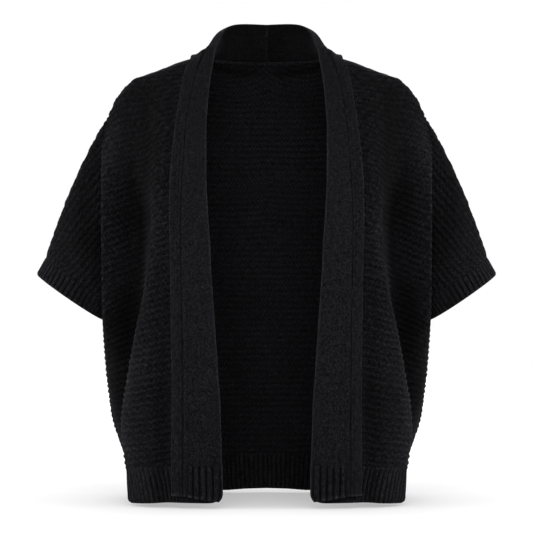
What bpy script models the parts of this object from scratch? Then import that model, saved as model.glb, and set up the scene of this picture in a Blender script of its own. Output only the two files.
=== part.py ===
"""Open-front batwing cardigan, filled out as it is worn, with no wearer.

Metres, +Z up, front towards -Y, the wearer's left at +X.  The origin is the
centre-back neck seam.  Each side of the garment is one fabric from the front
edge or the centre back out to the cuff: body and sleeve are cut in one.  Its
form is a set of fold lines, read from the tables below, with a smooth spline
down each line and another across the lines.
"""
import bpy
import numpy as np

# ---------------------------------------------------------------- dimensions
MM = 0.001

PANEL_WALL = 3.0 * MM         # ridged knit
RIB_WALL = 3.0 * MM           # hem and cuff ribs
BAND_WALL = 2.4 * MM          # one layer of the smooth front band
SEAM_GAP = 0.3 * MM           # between neighbouring pieces
SEAM_LEAN = 0.15 * MM         # allowance at a seam for the bend of the fabric

HEM_DEPTH = 49.0 * MM
HEM_TUCK = 4.0 * MM           # how far the hem draws in at the side seams
HEM_SHARE = 0.09              # the hem rib in shares of the front edge
HEM_CENTRE = (0.0, -0.1, 0.0)     # the side seams draw in towards this upright line

NECK_CURVE = 2.2              # power of the back neck seam's curve: flat at the nape
BACK_EASE = 0.80              # the back eases on to the front's shoulder seam from here up

# The cuff rib runs between two ellipses, each given by its outer, upper end, its
# inner, lower end and half its size along Y.  The knit of the sleeve ends at the first.
CUFF_START = ((303.5, -100.0, -278.0), (211.0, -100.0, -340.0), 64.0)
CUFF_EDGE = ((315.5, -100.0, -302.0), (226.5, -100.0, -363.5), 62.5)
CUFF_SHARE = 0.50             # share of the panel's height where the cuff starts

# The front band is folded back on itself along the front opening.
BAND_FOLD_RADIUS = 2.2 * MM   # of the middle of its wall
BAND_LIFT = 2 * BAND_FOLD_RADIUS   # outer layer above the inner, between mid-walls
BAND_OVERLAP = 11.0 * MM      # outer layer past the front seam
OVERLAP_PLACE = 10 / 245      # where its free edge lies across the front panel
OVERLAP_SHARE = 0.020         # and how far below the neck seam, in shares of the height
BAND_EDGE_GAP = 1.15 * MM      # between the mid-walls of the strip and the outer layer
INNER_START = 0.9 * MM        # inner layer of the band from the panel's edge
BAND_EDGE_WIDTH = 18.0 * MM   # smooth strip along the free edge
BAND_RIB_SHARE = 0.008        # share of the front edge where the band's rib ends
BAND_END_RISE = 8.0 * MM      # the outer layer ends this much higher at its free edge
CORNER_ROUND = 4.0 * MM       # where the outer layer leaves the collar for the panel

# Rows of the mesh, as shares of the height (and of the way round the neck).
SHARES = np.array((0, 0.12, 0.24, 0.34, 0.42, 0.46, 0.50, 0.56, 0.62, 0.69, 0.76,
                   0.83, 0.90, 0.95, 0.99, 1.0))
BAND_SHARES = np.array((BAND_RIB_SHARE, 0.12, 0.24, 0.34, 0.42, 0.50, 0.56, 0.62, 0.69,
                        0.76, 0.83, 0.90, 0.95, 0.99, 1.0))
BAND_END_SHARES = np.array((-HEM_SHARE, -0.04, BAND_RIB_SHARE))
COLLAR_ROUNDS = np.array((0, 0.15, 0.35, 0.57, 0.78, 1.0))

# Fold lines of a front, from the front edge out to the sleeve.
# Each row: share of the height from hem rib (0) to shoulder seam (1), then
# x, y and z in millimetres on the wearer's left.
FRONT_FOLDS = {
    "front edge": (
        (0.00, 117, -222, -556), (0.22, 117, -217, -433), (0.44, 119, -209, -310),
        (0.62, 121, -196, -210), (0.76, 117, -170, -132), (0.88, 111, -126, -65),
        (1.00, 99, -62, 1)),
    "valley beside the band": (
        (0.00, 136, -214, -557), (0.22, 136, -208, -437), (0.44, 138, -200, -314),
        (0.62, 140, -190, -214), (0.76, 134, -166, -136), (0.88, 129, -123, -68),
        (1.00, 123, -62, -6)),
    "middle of the panel": (
        (0.00, 158, -209, -558), (0.22, 158, -206, -441), (0.44, 153, -203, -319),
        (0.62, 151, -199, -218), (0.76, 150, -174, -141), (0.88, 150, -127, -75),
        (1.00, 145, -64, -15)),
    "front crest": (
        (0.00, 185, -184, -560), (0.10, 190, -188, -507), (0.22, 189, -192, -446),
        (0.34, 179, -197, -380), (0.44, 169, -201, -325), (0.62, 163, -190, -225),
        (0.76, 167, -165, -151), (0.88, 169, -116, -84), (1.00, 169, -65, -24)),
    "valley behind the front crest": (
        (0.00, 171, -158, -559), (0.22, 171, -154, -448), (0.34, 172, -156, -384),
        (0.44, 175, -158, -332), (0.62, 187, -152, -238), (0.76, 190, -140, -160),
        (0.88, 191, -105, -93), (1.00, 190, -67, -35)),
    "slope to the arm crest": (
        (0.00, 180, -132, -560), (0.10, 191, -132, -512), (0.22, 201, -138, -458),
        (0.34, 203, -144, -396), (0.44, 203, -148, -346), (0.62, 206, -151, -253),
        (0.76, 206, -141, -173), (0.88, 206, -100, -104), (1.00, 206, -70, -54)),
    "arm crest": (
        (0.00, 187, -106, -561), (0.10, 204, -108, -514), (0.22, 216, -113, -463),
        (0.34, 221, -129, -405), (0.44, 223, -150, -357), (0.53, 223, -161, -309),
        (0.62, 223, -165, -263), (0.76, 224, -154, -182), (0.88, 224, -99, -120),
        (1.00, 217, -75, -78)),
    "pocket behind the arm crest": (
        (0.00, 190, -92, -561), (0.10, 207, -90, -515), (0.22, 215, -94, -465),
        (0.34, 213, -101, -409), (0.42, 205, -111, -360), (0.50, 202, -119, -326),
        (0.62, 200, -127, -276), (0.76, 206, -120, -198), (0.88, 229, -100, -138),
        (1.00, 225, -77, -93)),
    "front of the sleeve": (
        (0.00, 192, -78, -562), (0.10, 208, -76, -516), (0.22, 217, -80, -466),
        (0.34, 212, -86, -410), (0.42, 203, -98, -360), (0.46, 199, -105, -334),
        (0.50, 204, -106, -333),
        (0.60, 204, -131, -309), (0.75, 228, -148, -260), (0.88, 257, -125, -208),
        (1.00, 258, -90, -157)),
}
FRONT_PLACES = (0, 20, 36, 54, 92, 113, 135, 165, 200, 245)   # mm across, last is the end
COLUMNS_BETWEEN = (2, 1, 2, 3, 2, 2, 3, 3, 3)                 # mesh columns in each space

# Fold lines of the back, from the centre out to the sleeve; same columns.
BACK_FOLDS = {
    "centre back": (
        (0.00, 0, 24, -556), (0.22, 0, 22, -433), (0.44, 0, 28, -310),
        (0.62, 0, 35, -210), (0.76, 0, 34, -132), (0.88, 0, 22, -65), (1.00, 0, 0, 0)),
    "beside the centre": (
        (0.00, 42, 20, -556), (0.22, 42, 26, -433), (0.44, 44, 26, -310),
        (0.62, 45, 36, -210), (0.76, 46, 32, -131), (0.88, 48, 17, -62), (1.00, 50, -15, 0)),
    "below the shoulder point": (
        (0.00, 84, 25, -556), (0.22, 84, 22, -434), (0.44, 87, 30, -310),
        (0.62, 89, 34, -210), (0.76, 91, 26, -129), (0.88, 94, 3, -56), (1.00, 99, -62, 1)),
    "shoulder blade": (
        (0.00, 126, 17, -557), (0.22, 124, 24, -437), (0.44, 127, 26, -315),
        (0.62, 131, 31, -217), (0.76, 136, 18, -138), (0.88, 140, -6, -68),
        (1.00, 145, -64, -15)),
    "back crest": (
        (0.00, 156, 10, -559), (0.22, 156, 18, -443), (0.44, 155, 26, -323),
        (0.62, 160, 24, -226), (0.76, 166, 10, -149), (0.88, 168, -12, -80),
        (1.00, 169, -65, -24)),
    "valley behind the back crest": (
        (0.00, 176, -10, -560), (0.22, 180, -6, -450), (0.44, 181, -4, -335),
        (0.62, 186, -8, -240), (0.76, 190, -12, -162), (0.88, 191, -26, -92),
        (1.00, 190, -67, -35)),
    "back arm crest": (
        (0.00, 188, -30, -561), (0.10, 203, -24, -514), (0.22, 212, -22, -462),
        (0.34, 218, -18, -405),
        (0.44, 221, -12, -357), (0.62, 222, -4, -264), (0.76, 222, -14, -184),
        (0.88, 223, -50, -121), (1.00, 217, -75, -78)),
    "pocket behind the back arm crest": (
        (0.00, 191, -42, -561), (0.10, 207, -36, -515), (0.22, 215, -38, -465),
        (0.34, 212, -42, -409), (0.42, 204, -50, -360), (0.50, 201, -58, -326),
        (0.62, 199, -52, -276), (0.76, 206, -50, -198), (0.88, 229, -60, -138),
        (1.00, 225, -77, -93)),
    "back of the sleeve": (
        (0.00, 192, -54, -562), (0.10, 208, -49, -516), (0.22, 217, -52, -466),
        (0.34, 212, -57, -410), (0.42, 203, -73, -360), (0.46, 199, -87, -334),
        (0.50, 204, -94, -333),
        (0.60, 204, -69, -309), (0.75, 229, -46, -260), (0.88, 257, -58, -208),
        (1.00, 258, -90, -157)),
}
BACK_PLACES = (0, 44, 88, 130, 158, 184, 218, 250, 285, 330)
SHOULDER_MATCH = (            # lines that meet at the shoulder seam: front's, back's
    (0, 2), (2, 3), (3, 4), (4, 5), (6, 6), (7, 7), (8, 8), (9, 9))

NECK_LINES = ("centre back", "beside the centre")      # these end at the neck seam

# The side seam, up to the notch under the arm and out to the cuff's foot.
SIDE_SEAM = (
    (0.00, 193, -66, -562), (0.10, 209, -62, -516), (0.22, 217, -66, -466),
    (0.34, 212, -72, -411), (0.42, 203, -86, -362), (0.46, 197, -96, -330),
    (0.50, 211, -100, -340))

# Allowance along the side seam and the cuff for the bend of the fabric there, most
# under the arm; columns share of the height, millimetres.
SIDE_LEANS = ((0.00, 0.35), (0.34, 0.35), (0.42, 0.6), (0.46, 1.1), (0.50, 1.5), (0.56, 0.45),
              (1.00, 0.35))

# The band: where its folded edge runs, by the same shares as the front edge.
BAND_FOLD = (
    (-0.09, 58, -226, -606), (0.00, 59, -227, -556), (0.22, 63, -226, -433),
    (0.44, 72, -218, -310), (0.62, 79, -206, -206), (0.76, 81, -181, -136),
    (0.88, 79, -133, -66), (0.96, 75, -86, -18), (1.00, 71, -58, 8))
# ... and round the neck, by the angle from the shoulder point to the centre back.
COLLAR_FOLD = (
    (0.00, 71, -58, 8), (0.25, 68, -40, 24), (0.45, 61, -19, 39),
    (0.70, 42, 0, 50), (1.00, 0, 8, 52.5))


# -------------------------------------------------------------------- splines
def spline(knots, values, where):
    """Natural cubic spline through the rows of values at knots, read at where."""
    knots = np.asarray(knots, float)
    values = np.asarray(values, float)
    where = np.asarray(where, float)
    step = np.diff(knots)
    slope = np.diff(values, axis=0) / step[:, None]
    count = len(knots)
    system = np.eye(count)
    right = np.zeros_like(values)
    for i in range(1, count - 1):
        system[i, i - 1:i + 2] = step[i - 1], 2 * (step[i - 1] + step[i]), step[i]
        right[i] = 6 * (slope[i] - slope[i - 1])
    bend = np.linalg.solve(system, right)
    i = np.clip(np.searchsorted(knots, where) - 1, 0, count - 2)
    span = step[i][:, None]
    after = (where - knots[i])[:, None] / span
    before = 1 - after
    curve = ((before ** 3 - before) * bend[i] + (after ** 3 - after) * bend[i + 1])
    return before * values[i] + after * values[i + 1] + curve * span ** 2 / 6


def fold_line(rows, shares, over_shoulder=False):
    """Points of one fold line, in metres, at these shares of the height.

    A line that runs on over the shoulder seam meets it level, along Y.
    """
    table = np.array(rows, float)
    if over_shoulder:
        share, x, y, z = table[-2]
        beyond = (2 - share, x, 2 * table[-1, 2] - y, z)
        table = np.vstack((table, beyond))
    return spline(table[:, 0], table[:, 1:] * MM, shares)


def cuff_ring(ellipse, angle, face):
    """Points of an ellipse; angle 0 is its lower end, pi its top; face -1 is in front."""
    top, foot = np.array(ellipse[:2]) * MM
    depth = np.array((0.0, ellipse[2] * face * MM, 0.0))
    angle = np.asarray(angle, float)[:, None]
    return (top + foot) / 2 - np.cos(angle) * (top - foot) / 2 + np.sin(angle) * depth


def outer_end(shares, face):
    """The panel's outer end: the side seam, then its half of the cuff ring."""
    shares = np.asarray(shares, float)
    seam = fold_line(SIDE_SEAM, np.minimum(shares, CUFF_SHARE))
    angle = np.pi * (np.maximum(shares, CUFF_SHARE) - CUFF_SHARE) / (1 - CUFF_SHARE)
    ring = cuff_ring(CUFF_START, angle, face)
    return np.where((shares <= CUFF_SHARE)[:, None], seam, ring)


def panel(folds, places, face, across, shares):
    """Grid of points (across, share, xyz) of a front or of half of the back."""
    lines = [fold_line(rows, shares, over_shoulder=name not in NECK_LINES)
             for name, rows in folds.items()]
    lines.append(outer_end(shares, face))
    stack = np.array(lines).reshape(len(lines), -1)
    knots = np.array(places, float) / places[-1]
    return spline(knots, stack, across).reshape(len(across), len(shares), 3)


def front(across, shares):
    return panel(FRONT_FOLDS, FRONT_PLACES, -1, across, shares)


def back_place(across):
    """Where a front's place across meets the back's, seam to seam."""
    ours = np.array(FRONT_PLACES, float)
    theirs = np.array(BACK_PLACES, float)
    return np.interp(across, [ours[a] / ours[-1] for a, _ in SHOULDER_MATCH],
                     [theirs[b] / theirs[-1] for _, b in SHOULDER_MATCH])


def back(across, shares):
    """Half of the back; its top is eased on to the shoulder seam of the front."""
    points = panel(BACK_FOLDS, BACK_PLACES, 1, across, shares)
    top = panel(BACK_FOLDS, BACK_PLACES, 1, across, np.array((1.0,)))[:, 0]
    start = back_place(np.zeros(1))[0]
    finer = np.linspace(0, 1, 400)
    seam = front(finer, np.array((1.0,)))[:, 0]
    place = np.interp(np.maximum(across, start), back_place(finer), finer)
    aim = np.stack([np.interp(place, finer, seam[:, k]) for k in range(3)], 1)
    neck = neck_seam(across / start)
    aim = np.where((across < start)[:, None], neck, aim)
    ease = np.clip((shares - BACK_EASE) / (1 - BACK_EASE), 0, 1) ** 2
    return points + ease[None, :, None] * (aim - top)[:, None, :]


def neck_seam(share):
    """Back neck seam, from the centre back (0) to the shoulder point (1)."""
    share = np.clip(np.asarray(share, float), 0, 1)
    end = np.array(FRONT_FOLDS["front edge"][-1][1:]) * MM
    return np.stack([end[0] * share, end[1] * share ** NECK_CURVE, end[2] * share], 1)


def side_lean():
    """Seam allowance down the outer end of a panel, a row per mesh row."""
    table = np.array(SIDE_LEANS)
    return np.interp(SHARES, table[:, 0], table[:, 1] * MM)[:, None]


def trimmed(grid, sides, lean=SEAM_LEAN):
    """Draw the named edges of a grid back along the fabric, to leave the seam gap.

    Mid-walls are cut back further than half the gap, because the walls lean
    towards each other where the fabric bends at a seam.
    """
    grid = grid.copy()
    side_cut = SEAM_GAP / 2 + lean
    cut = SEAM_GAP / 2 + SEAM_LEAN
    if "start" in sides:
        grid[0] += side_cut * unit(grid[1] - grid[0])
    if "end" in sides:
        grid[-1] += side_cut * unit(grid[-2] - grid[-1])
    if "foot" in sides:
        grid[:, 0] += cut * unit(grid[:, 1] - grid[:, 0])
    if "top" in sides:
        grid[:, -1] += cut * unit(grid[:, -2] - grid[:, -1])
    return grid


def unit(vectors):
    return vectors / np.linalg.norm(vectors, axis=-1, keepdims=True)


def below_panel(top, tuck_share, steps):
    """Hem rib under a panel's lowest row: straight down, drawn in at the side."""
    inward = np.array(HEM_CENTRE) - top
    inward[:, 2] = 0
    tuck = HEM_TUCK * (tuck_share ** 2)[:, None] * unit(inward)
    reach = np.array((0.0, 0.0, -HEM_DEPTH)) + tuck
    return top[:, None] + reach[:, None] * np.asarray(steps)[None, :, None]


def cuff_points():
    """Cuff rib, from the end of the sleeve to its free edge."""
    shares = SHARES[SHARES >= CUFF_SHARE]
    angles = np.pi * (shares - CUFF_SHARE) / (1 - CUFF_SHARE)
    rings = [np.concatenate((cuff_ring(ellipse, angles, -1),
                             cuff_ring(ellipse, angles[-2:0:-1], 1)))
             for ellipse in (CUFF_START, CUFF_EDGE)]
    return np.stack(rings, 1)


# ----------------------------------------------------------------- front band
def panel_normal(sheet, across, shares, outward):
    """Outward normal of a front or the back at these places and shares, one by one."""
    step = 0.01
    normals = []
    for place, share in zip(across, shares):
        corner = sheet(np.array((place, place + step)), np.array((share - step, share)))
        normal = np.cross(corner[1, 1] - corner[0, 1], corner[0, 1] - corner[0, 0])
        normals.append(normal * outward)
    return unit(np.array(normals))


def front_stations(shares):
    """Seam, fold, foot of the free edge and outward normal, up the front edge."""
    up = np.maximum(shares, 0)
    under_hem = np.minimum(shares, 0)[:, None] / HEM_SHARE * np.array((0, 0, HEM_DEPTH))
    seam, foot = front(np.array((0.0, OVERLAP_PLACE)), up) + under_hem
    normal = panel_normal(front, np.full(len(up), OVERLAP_PLACE), np.maximum(up, 0.01), 1)
    return [seam, fold_line(BAND_FOLD, shares), foot, normal]


def collar_stations(rounds):
    """The same, from the shoulder point (0) round to the centre back (1)."""
    start, beside = back_place(np.array((0.0, OVERLAP_PLACE)))
    turned = (1 - rounds) ** 3
    across = start * (1 - rounds) + (beside - start) * turned
    shares = 1 - OVERLAP_SHARE * (1 - turned)
    foot = np.array([back(np.array((place,)), np.array((share,)))[0, 0]
                     for place, share in zip(across, shares)])
    normal = panel_normal(back, across, shares, -1)
    return [neck_seam(1 - rounds), fold_line(COLLAR_FOLD, rounds), foot, normal]


def band_layers(shares, rounds):
    """Mid-wall grids (station, point, xyz) of the folded band and of its edge strip."""
    seam, fold, foot, normal = front_stations(shares)
    if len(rounds):
        collar = collar_stations(rounds)
        collar[3][0] = normal[-1] = unit(normal[-1] + collar[3][0])
        seam, fold, foot, normal = [np.concatenate((low, high[1:])) for low, high
                                    in zip((seam, fold, foot, normal), collar)]
    along = np.gradient((seam + fold) / 2, axis=0)
    if len(rounds):
        along[-1] = (-1.0, 0.0, 0.0)
        normal[-1, 0] = 0
    width = np.linalg.norm(fold - seam, axis=1, keepdims=True)
    up = (fold - seam) / width
    out = unit(np.cross(along, up))
    turn = width - BAND_FOLD_RADIUS
    inner = [seam + up * a for a in (INNER_START, turn * 0.5)]
    bend = [seam + up * (turn + BAND_FOLD_RADIUS * np.cos(angle))
            + out * BAND_FOLD_RADIUS * (1 + np.sin(angle))
            for angle in np.radians((-90, -45, 0, 45, 90))]
    lean = BAND_LIFT * (out + normal) / (1 + (out * normal).sum(1, keepdims=True))
    corner = seam + lean
    free = foot + unit(normal) * BAND_LIFT
    inward = unit(bend[-1] - corner)
    before = corner + inward * CORNER_ROUND
    after = corner + unit(free - corner) * CORNER_ROUND
    middle = (before + 2 * corner + after) / 4
    strip_reach = BAND_EDGE_WIDTH - BAND_OVERLAP
    main_end = corner + inward * (strip_reach + BAND_EDGE_GAP)
    main = inner + bend + [(bend[-1] + main_end) / 2, main_end]
    strip = [corner + inward * strip_reach, before, middle, after, free]
    return np.stack(main, 1), np.stack(strip, 1)


def raise_end(grid, first, last):
    """Lift the lowest row; first and last are a point's number and its share of the rise."""
    points, lifts = zip(first, last)
    grid = grid.copy()
    grid[0, :, 2] += BAND_END_RISE * np.interp(np.arange(grid.shape[1]), points, lifts)
    return grid


def columns():
    """Places across a front: evenly between each pair of fold lines."""
    lines = np.array(FRONT_PLACES, float) / FRONT_PLACES[-1]
    spots = [np.linspace(a, b, count, endpoint=False)
             for a, b, count in zip(lines, lines[1:], COLUMNS_BETWEEN)]
    return np.append(np.concatenate(spots), 1.0)


def back_columns():
    neck = back_place(np.zeros(1))[0] * (1 - COLLAR_ROUNDS[:0:-1])
    return np.append(neck, back_place(columns()))


# ---- build
def material(name, colour, roughness):
    made = bpy.data.materials.new(name)
    made.use_nodes = True
    shader = made.node_tree.nodes["Principled BSDF"]
    shader.inputs["Base Color"].default_value = (*colour, 1.0)
    shader.inputs["Roughness"].default_value = roughness
    shader.inputs["Metallic"].default_value = 0.0
    return made


def add_sheet(name, grid, wall, finish, flip=False, closed=False):
    """One piece of fabric: the grid as an open surface, with Solidify for its wall."""
    rows, cols = grid.shape[:2]
    faces = []
    for i in range(rows if closed else rows - 1):
        for j in range(cols - 1):
            a, b = i * cols + j, (i + 1) % rows * cols + j
            faces.append((a + 1, b + 1, b, a) if flip else (b, b + 1, a + 1, a))
    mesh = bpy.data.meshes.new(name)
    mesh.from_pydata(grid.reshape(-1, 3).tolist(), [], faces)
    mesh.materials.append(finish)
    mesh.shade_smooth()
    piece = bpy.data.objects.new(name, mesh)
    bpy.data.collections["cardigan"].objects.link(piece)
    shell = piece.modifiers.new("wall", "SOLIDIFY")
    shell.thickness = wall
    shell.offset = 0.0
    shell.use_quality_normals = True
    return piece


def sided(grid, side):
    """The grid on the wearer's left (+1) or right (-1)."""
    return grid * np.array((side, 1.0, 1.0))


def build_fronts(knit, rib):
    across = columns()
    grid = front(across, SHARES)
    hem = below_panel(grid[:, 0], across, (0.0, 1.0))
    for word, side in (("left", 1), ("right", -1)):
        add_sheet(f"front_panel_{word}", sided(trimmed(grid, "end foot top", side_lean()), side),
                  PANEL_WALL, knit, flip=side < 0)
        add_sheet(f"hem_rib_front_{word}", sided(trimmed(hem, "end foot"), side),
                  RIB_WALL, rib, flip=side > 0)


def build_back(knit, rib):
    across = back_columns()
    half = back(across, SHARES)
    grid = np.concatenate((sided(half[:0:-1], -1), half))
    hem_half = below_panel(half[:, 0], across, (0.0, 1.0))
    hem = np.concatenate((sided(hem_half[:0:-1], -1), hem_half))
    add_sheet("back_panel", trimmed(grid, "start end foot top", side_lean()), PANEL_WALL,
              knit, flip=True)
    add_sheet("hem_rib_back", trimmed(hem, "start end foot"), RIB_WALL, rib)


def build_cuffs(rib):
    grid = trimmed(cuff_points(), "foot")
    for word, side in (("left", 1), ("right", -1)):
        add_sheet(f"cuff_rib_{word}", sided(grid, side), RIB_WALL, rib,
                  flip=side < 0, closed=True)


def build_bands(smooth, rib):
    main, strip = band_layers(BAND_SHARES, COLLAR_ROUNDS)
    end_main, end_strip = band_layers(BAND_END_SHARES, ())
    strip = np.concatenate((end_strip[:-1], strip))
    for word, side in (("left", 1), ("right", -1)):
        add_sheet(f"front_band_{word}", sided(trimmed(main, "start end"), side),
                  BAND_WALL, smooth, flip=side > 0)
        add_sheet(f"band_rib_{word}",
                  sided(trimmed(raise_end(end_main, (4, 0), (8, 0.7)), "end"), side),
                  BAND_WALL, rib, flip=side > 0)
        add_sheet(f"band_edge_{word}",
                  sided(trimmed(raise_end(strip, (0, 0.7), (4, 1)), "end"), side),
                  BAND_WALL, smooth, flip=side > 0)


def main():
    for old in list(bpy.data.objects):
        bpy.data.objects.remove(old, do_unlink=True)
    collection = bpy.data.collections.new("cardigan")
    bpy.context.scene.collection.children.link(collection)
    knit = material("ridged_knit", (0.013, 0.013, 0.014), 0.9)
    rib = material("rib_knit", (0.012, 0.012, 0.013), 0.9)
    smooth = material("band_jersey", (0.015, 0.015, 0.016), 0.85)
    build_back(knit, rib)
    build_fronts(knit, rib)
    build_cuffs(rib)
    build_bands(smooth, rib)


main()
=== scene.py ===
"""Looks of an open-front batwing cardigan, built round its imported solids.

Every piece of fabric is a closed skin over the same fold lines that the solids
follow, with the ridges of the knit and the ribs raised in its mesh.  Stitches
and seams are laid along their paths by Geometry Nodes.  Metres, +Z up, front
towards -Y, the wearer's left at +X, origin at the centre-back neck seam.
"""
import math

import bpy
import numpy as np
from bpy.props import FloatProperty, FloatVectorProperty, IntProperty, PointerProperty
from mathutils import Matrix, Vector


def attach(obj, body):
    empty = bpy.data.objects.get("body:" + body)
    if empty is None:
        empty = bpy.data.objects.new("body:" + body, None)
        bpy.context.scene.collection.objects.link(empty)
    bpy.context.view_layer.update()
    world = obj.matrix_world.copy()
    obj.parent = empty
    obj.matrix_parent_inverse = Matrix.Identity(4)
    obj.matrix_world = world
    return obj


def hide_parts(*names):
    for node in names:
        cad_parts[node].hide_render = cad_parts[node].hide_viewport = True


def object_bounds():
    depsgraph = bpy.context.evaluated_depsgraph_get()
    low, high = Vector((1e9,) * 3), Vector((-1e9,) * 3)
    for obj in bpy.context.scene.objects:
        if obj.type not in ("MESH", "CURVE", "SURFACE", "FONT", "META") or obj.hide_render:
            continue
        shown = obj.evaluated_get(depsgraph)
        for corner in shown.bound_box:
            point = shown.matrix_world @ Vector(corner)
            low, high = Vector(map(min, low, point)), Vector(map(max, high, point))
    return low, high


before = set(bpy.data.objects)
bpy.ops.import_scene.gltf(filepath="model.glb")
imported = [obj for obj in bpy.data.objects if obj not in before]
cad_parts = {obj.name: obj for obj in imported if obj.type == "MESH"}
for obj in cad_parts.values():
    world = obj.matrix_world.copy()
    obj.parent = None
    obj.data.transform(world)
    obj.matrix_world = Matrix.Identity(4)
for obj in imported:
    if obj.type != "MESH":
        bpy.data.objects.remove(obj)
CAD_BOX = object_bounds()

bl_info = {
    "name": "Batwing cardigan",
    "version": (1, 0, 0),
    "blender": (4, 5, 0),
    "location": "3D View > Sidebar > Cardigan",
    "description": "Builds the fabric, ribs, stitching and stage of an open-front cardigan",
    "category": "Add Mesh",
}

MM = 0.001
LEFT, RIGHT = 1, -1
SIDES = (("left", LEFT), ("right", RIGHT))

# ------------------------------------------------------------ form of the cloth
# Sizes and fold lines follow the solids.  A share is of the height from hem rib to
# shoulder seam, unless it says otherwise.
PANEL_WALL = 3.0 * MM
RIB_WALL = 3.0 * MM
BAND_WALL = 2.4 * MM
JOIN_FACE = 1.45 * MM             # half the wall of a rib where it leaves its panel
HEM_DEPTH = 49.0 * MM
HEM_TUCK = 4.5 * MM               # how far the hem is drawn in towards its centre
HEM_ROUND = 3.5 * MM              # and how much further at its lower edge
TUCK_ACROSS = (0.07, 0.19)        # shares of the way out over which the tuck sets in
TUCK_DOWN = (0.0, 0.12)           # shares of the hem's depth, likewise
ROUND_DOWN = (0.85, 1.0)
HEM_SHARE = 0.09                  # of the hem's own depth, which the band counts below 0
HEM_CENTRE = (0.0, -0.1, 0.0)
NECK_CURVE = 2.2                  # power by which the neck seam turns forward
BACK_EASE = 0.80                  # share at which the back is eased on to the front

# The cuffs' ellipses: top, foot and half depth, in millimetres; the share of the foot.
CUFF_START = ((303.5, -100.0, -278.0), (211.0, -100.0, -340.0), 64.0)
CUFF_EDGE = ((315.5, -100.0, -302.0), (226.5, -100.0, -363.5), 62.5)
CUFF_SHARE = 0.50

BAND_FOLD_RADIUS = 2.2 * MM
BAND_LIFT = 2 * BAND_FOLD_RADIUS  # of the outer layer over the inner, and of the strip
BAND_OVERLAP = 11.0 * MM          # of the strip on the panel
OVERLAP_PLACE = 10 / 245          # about the same, as a share across the front
OVERLAP_SHARE = 0.020             # ... and down from the neck seam
BAND_EDGE_GAP = 0.2 * MM
INNER_START = 0.4 * MM
BAND_EDGE_WIDTH = 18.0 * MM
BAND_RIB_SHARE = 0.008            # share at which the band's ribbed end stops
BAND_END_RISE = 9.5 * MM          # of the band's lower end, from its fold to its strip
CORNER_ROUND = 4.0 * MM
BEND_ANGLES = np.radians((-90, -45, 0, 45, 90))

# How the band gathers where it turns over the shoulder.  Each pair: stations counted
# from the shoulder point, then a share, or millimetres for the puff.
PINCH = ((-3, -2, -1, 0, 1, 2, 4), (0, 0.22, 0.85, 1, 0.6, 0.25, 0))
PINCHED_CORNER = np.array((-5.5, 0.0, 6.0)) * MM
PINCHED_JOINT = np.array((-6.8, 0.0, 6.3)) * MM
PINCHED_EDGE = np.array((-9.0, 0.0, 3.5)) * MM
PUFF = ((-3, -2, -1, 0, 1, 2, 3, 4, 5), (0, 0.5, 1.2, 2.2, 3.4, 5.2, 6.0, 4.0, 0))
PUFF_CENTRE = (0.0, -0.03, 0.0)   # the puff swells away from here, and a little up
PUFF_SPREAD = (1.0, 0.6, 0.0)
PUFF_RISE = (0.0, 0.0, 0.25)
PUFF_ROUND_FOLD = (0.0, 0.3, 0.8)      # shares of it from the middle of the fold outwards
PUFF_OUTSIDE = 0.85

# How far the strip's free edge is drawn in by its knit, in millimetres, up the front.
STRIP_DRAW = ((-0.09, 0.0, 0.15, 0.22, 0.34, 0.44, 0.52, 0.60, 0.68, 0.76, 0.88, 0.96),
              (3.3, 3.3, 4.1, 4.1, 2.8, 2.6, 1.4, -1.0, -3.2, -2.3, 0.1, 0.6))

# Stations along the band: shares up the front, then turns round the neck.
BAND_SHARES = np.array((-HEM_SHARE, -0.04, BAND_RIB_SHARE, 0.12, 0.24, 0.34, 0.42, 0.50,
                        0.56, 0.62, 0.69, 0.76, 0.83, 0.90, 0.95, 0.99, 1.0))
COLLAR_ROUNDS = np.array((0, 0.15, 0.35, 0.57, 0.78, 1.0))

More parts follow.
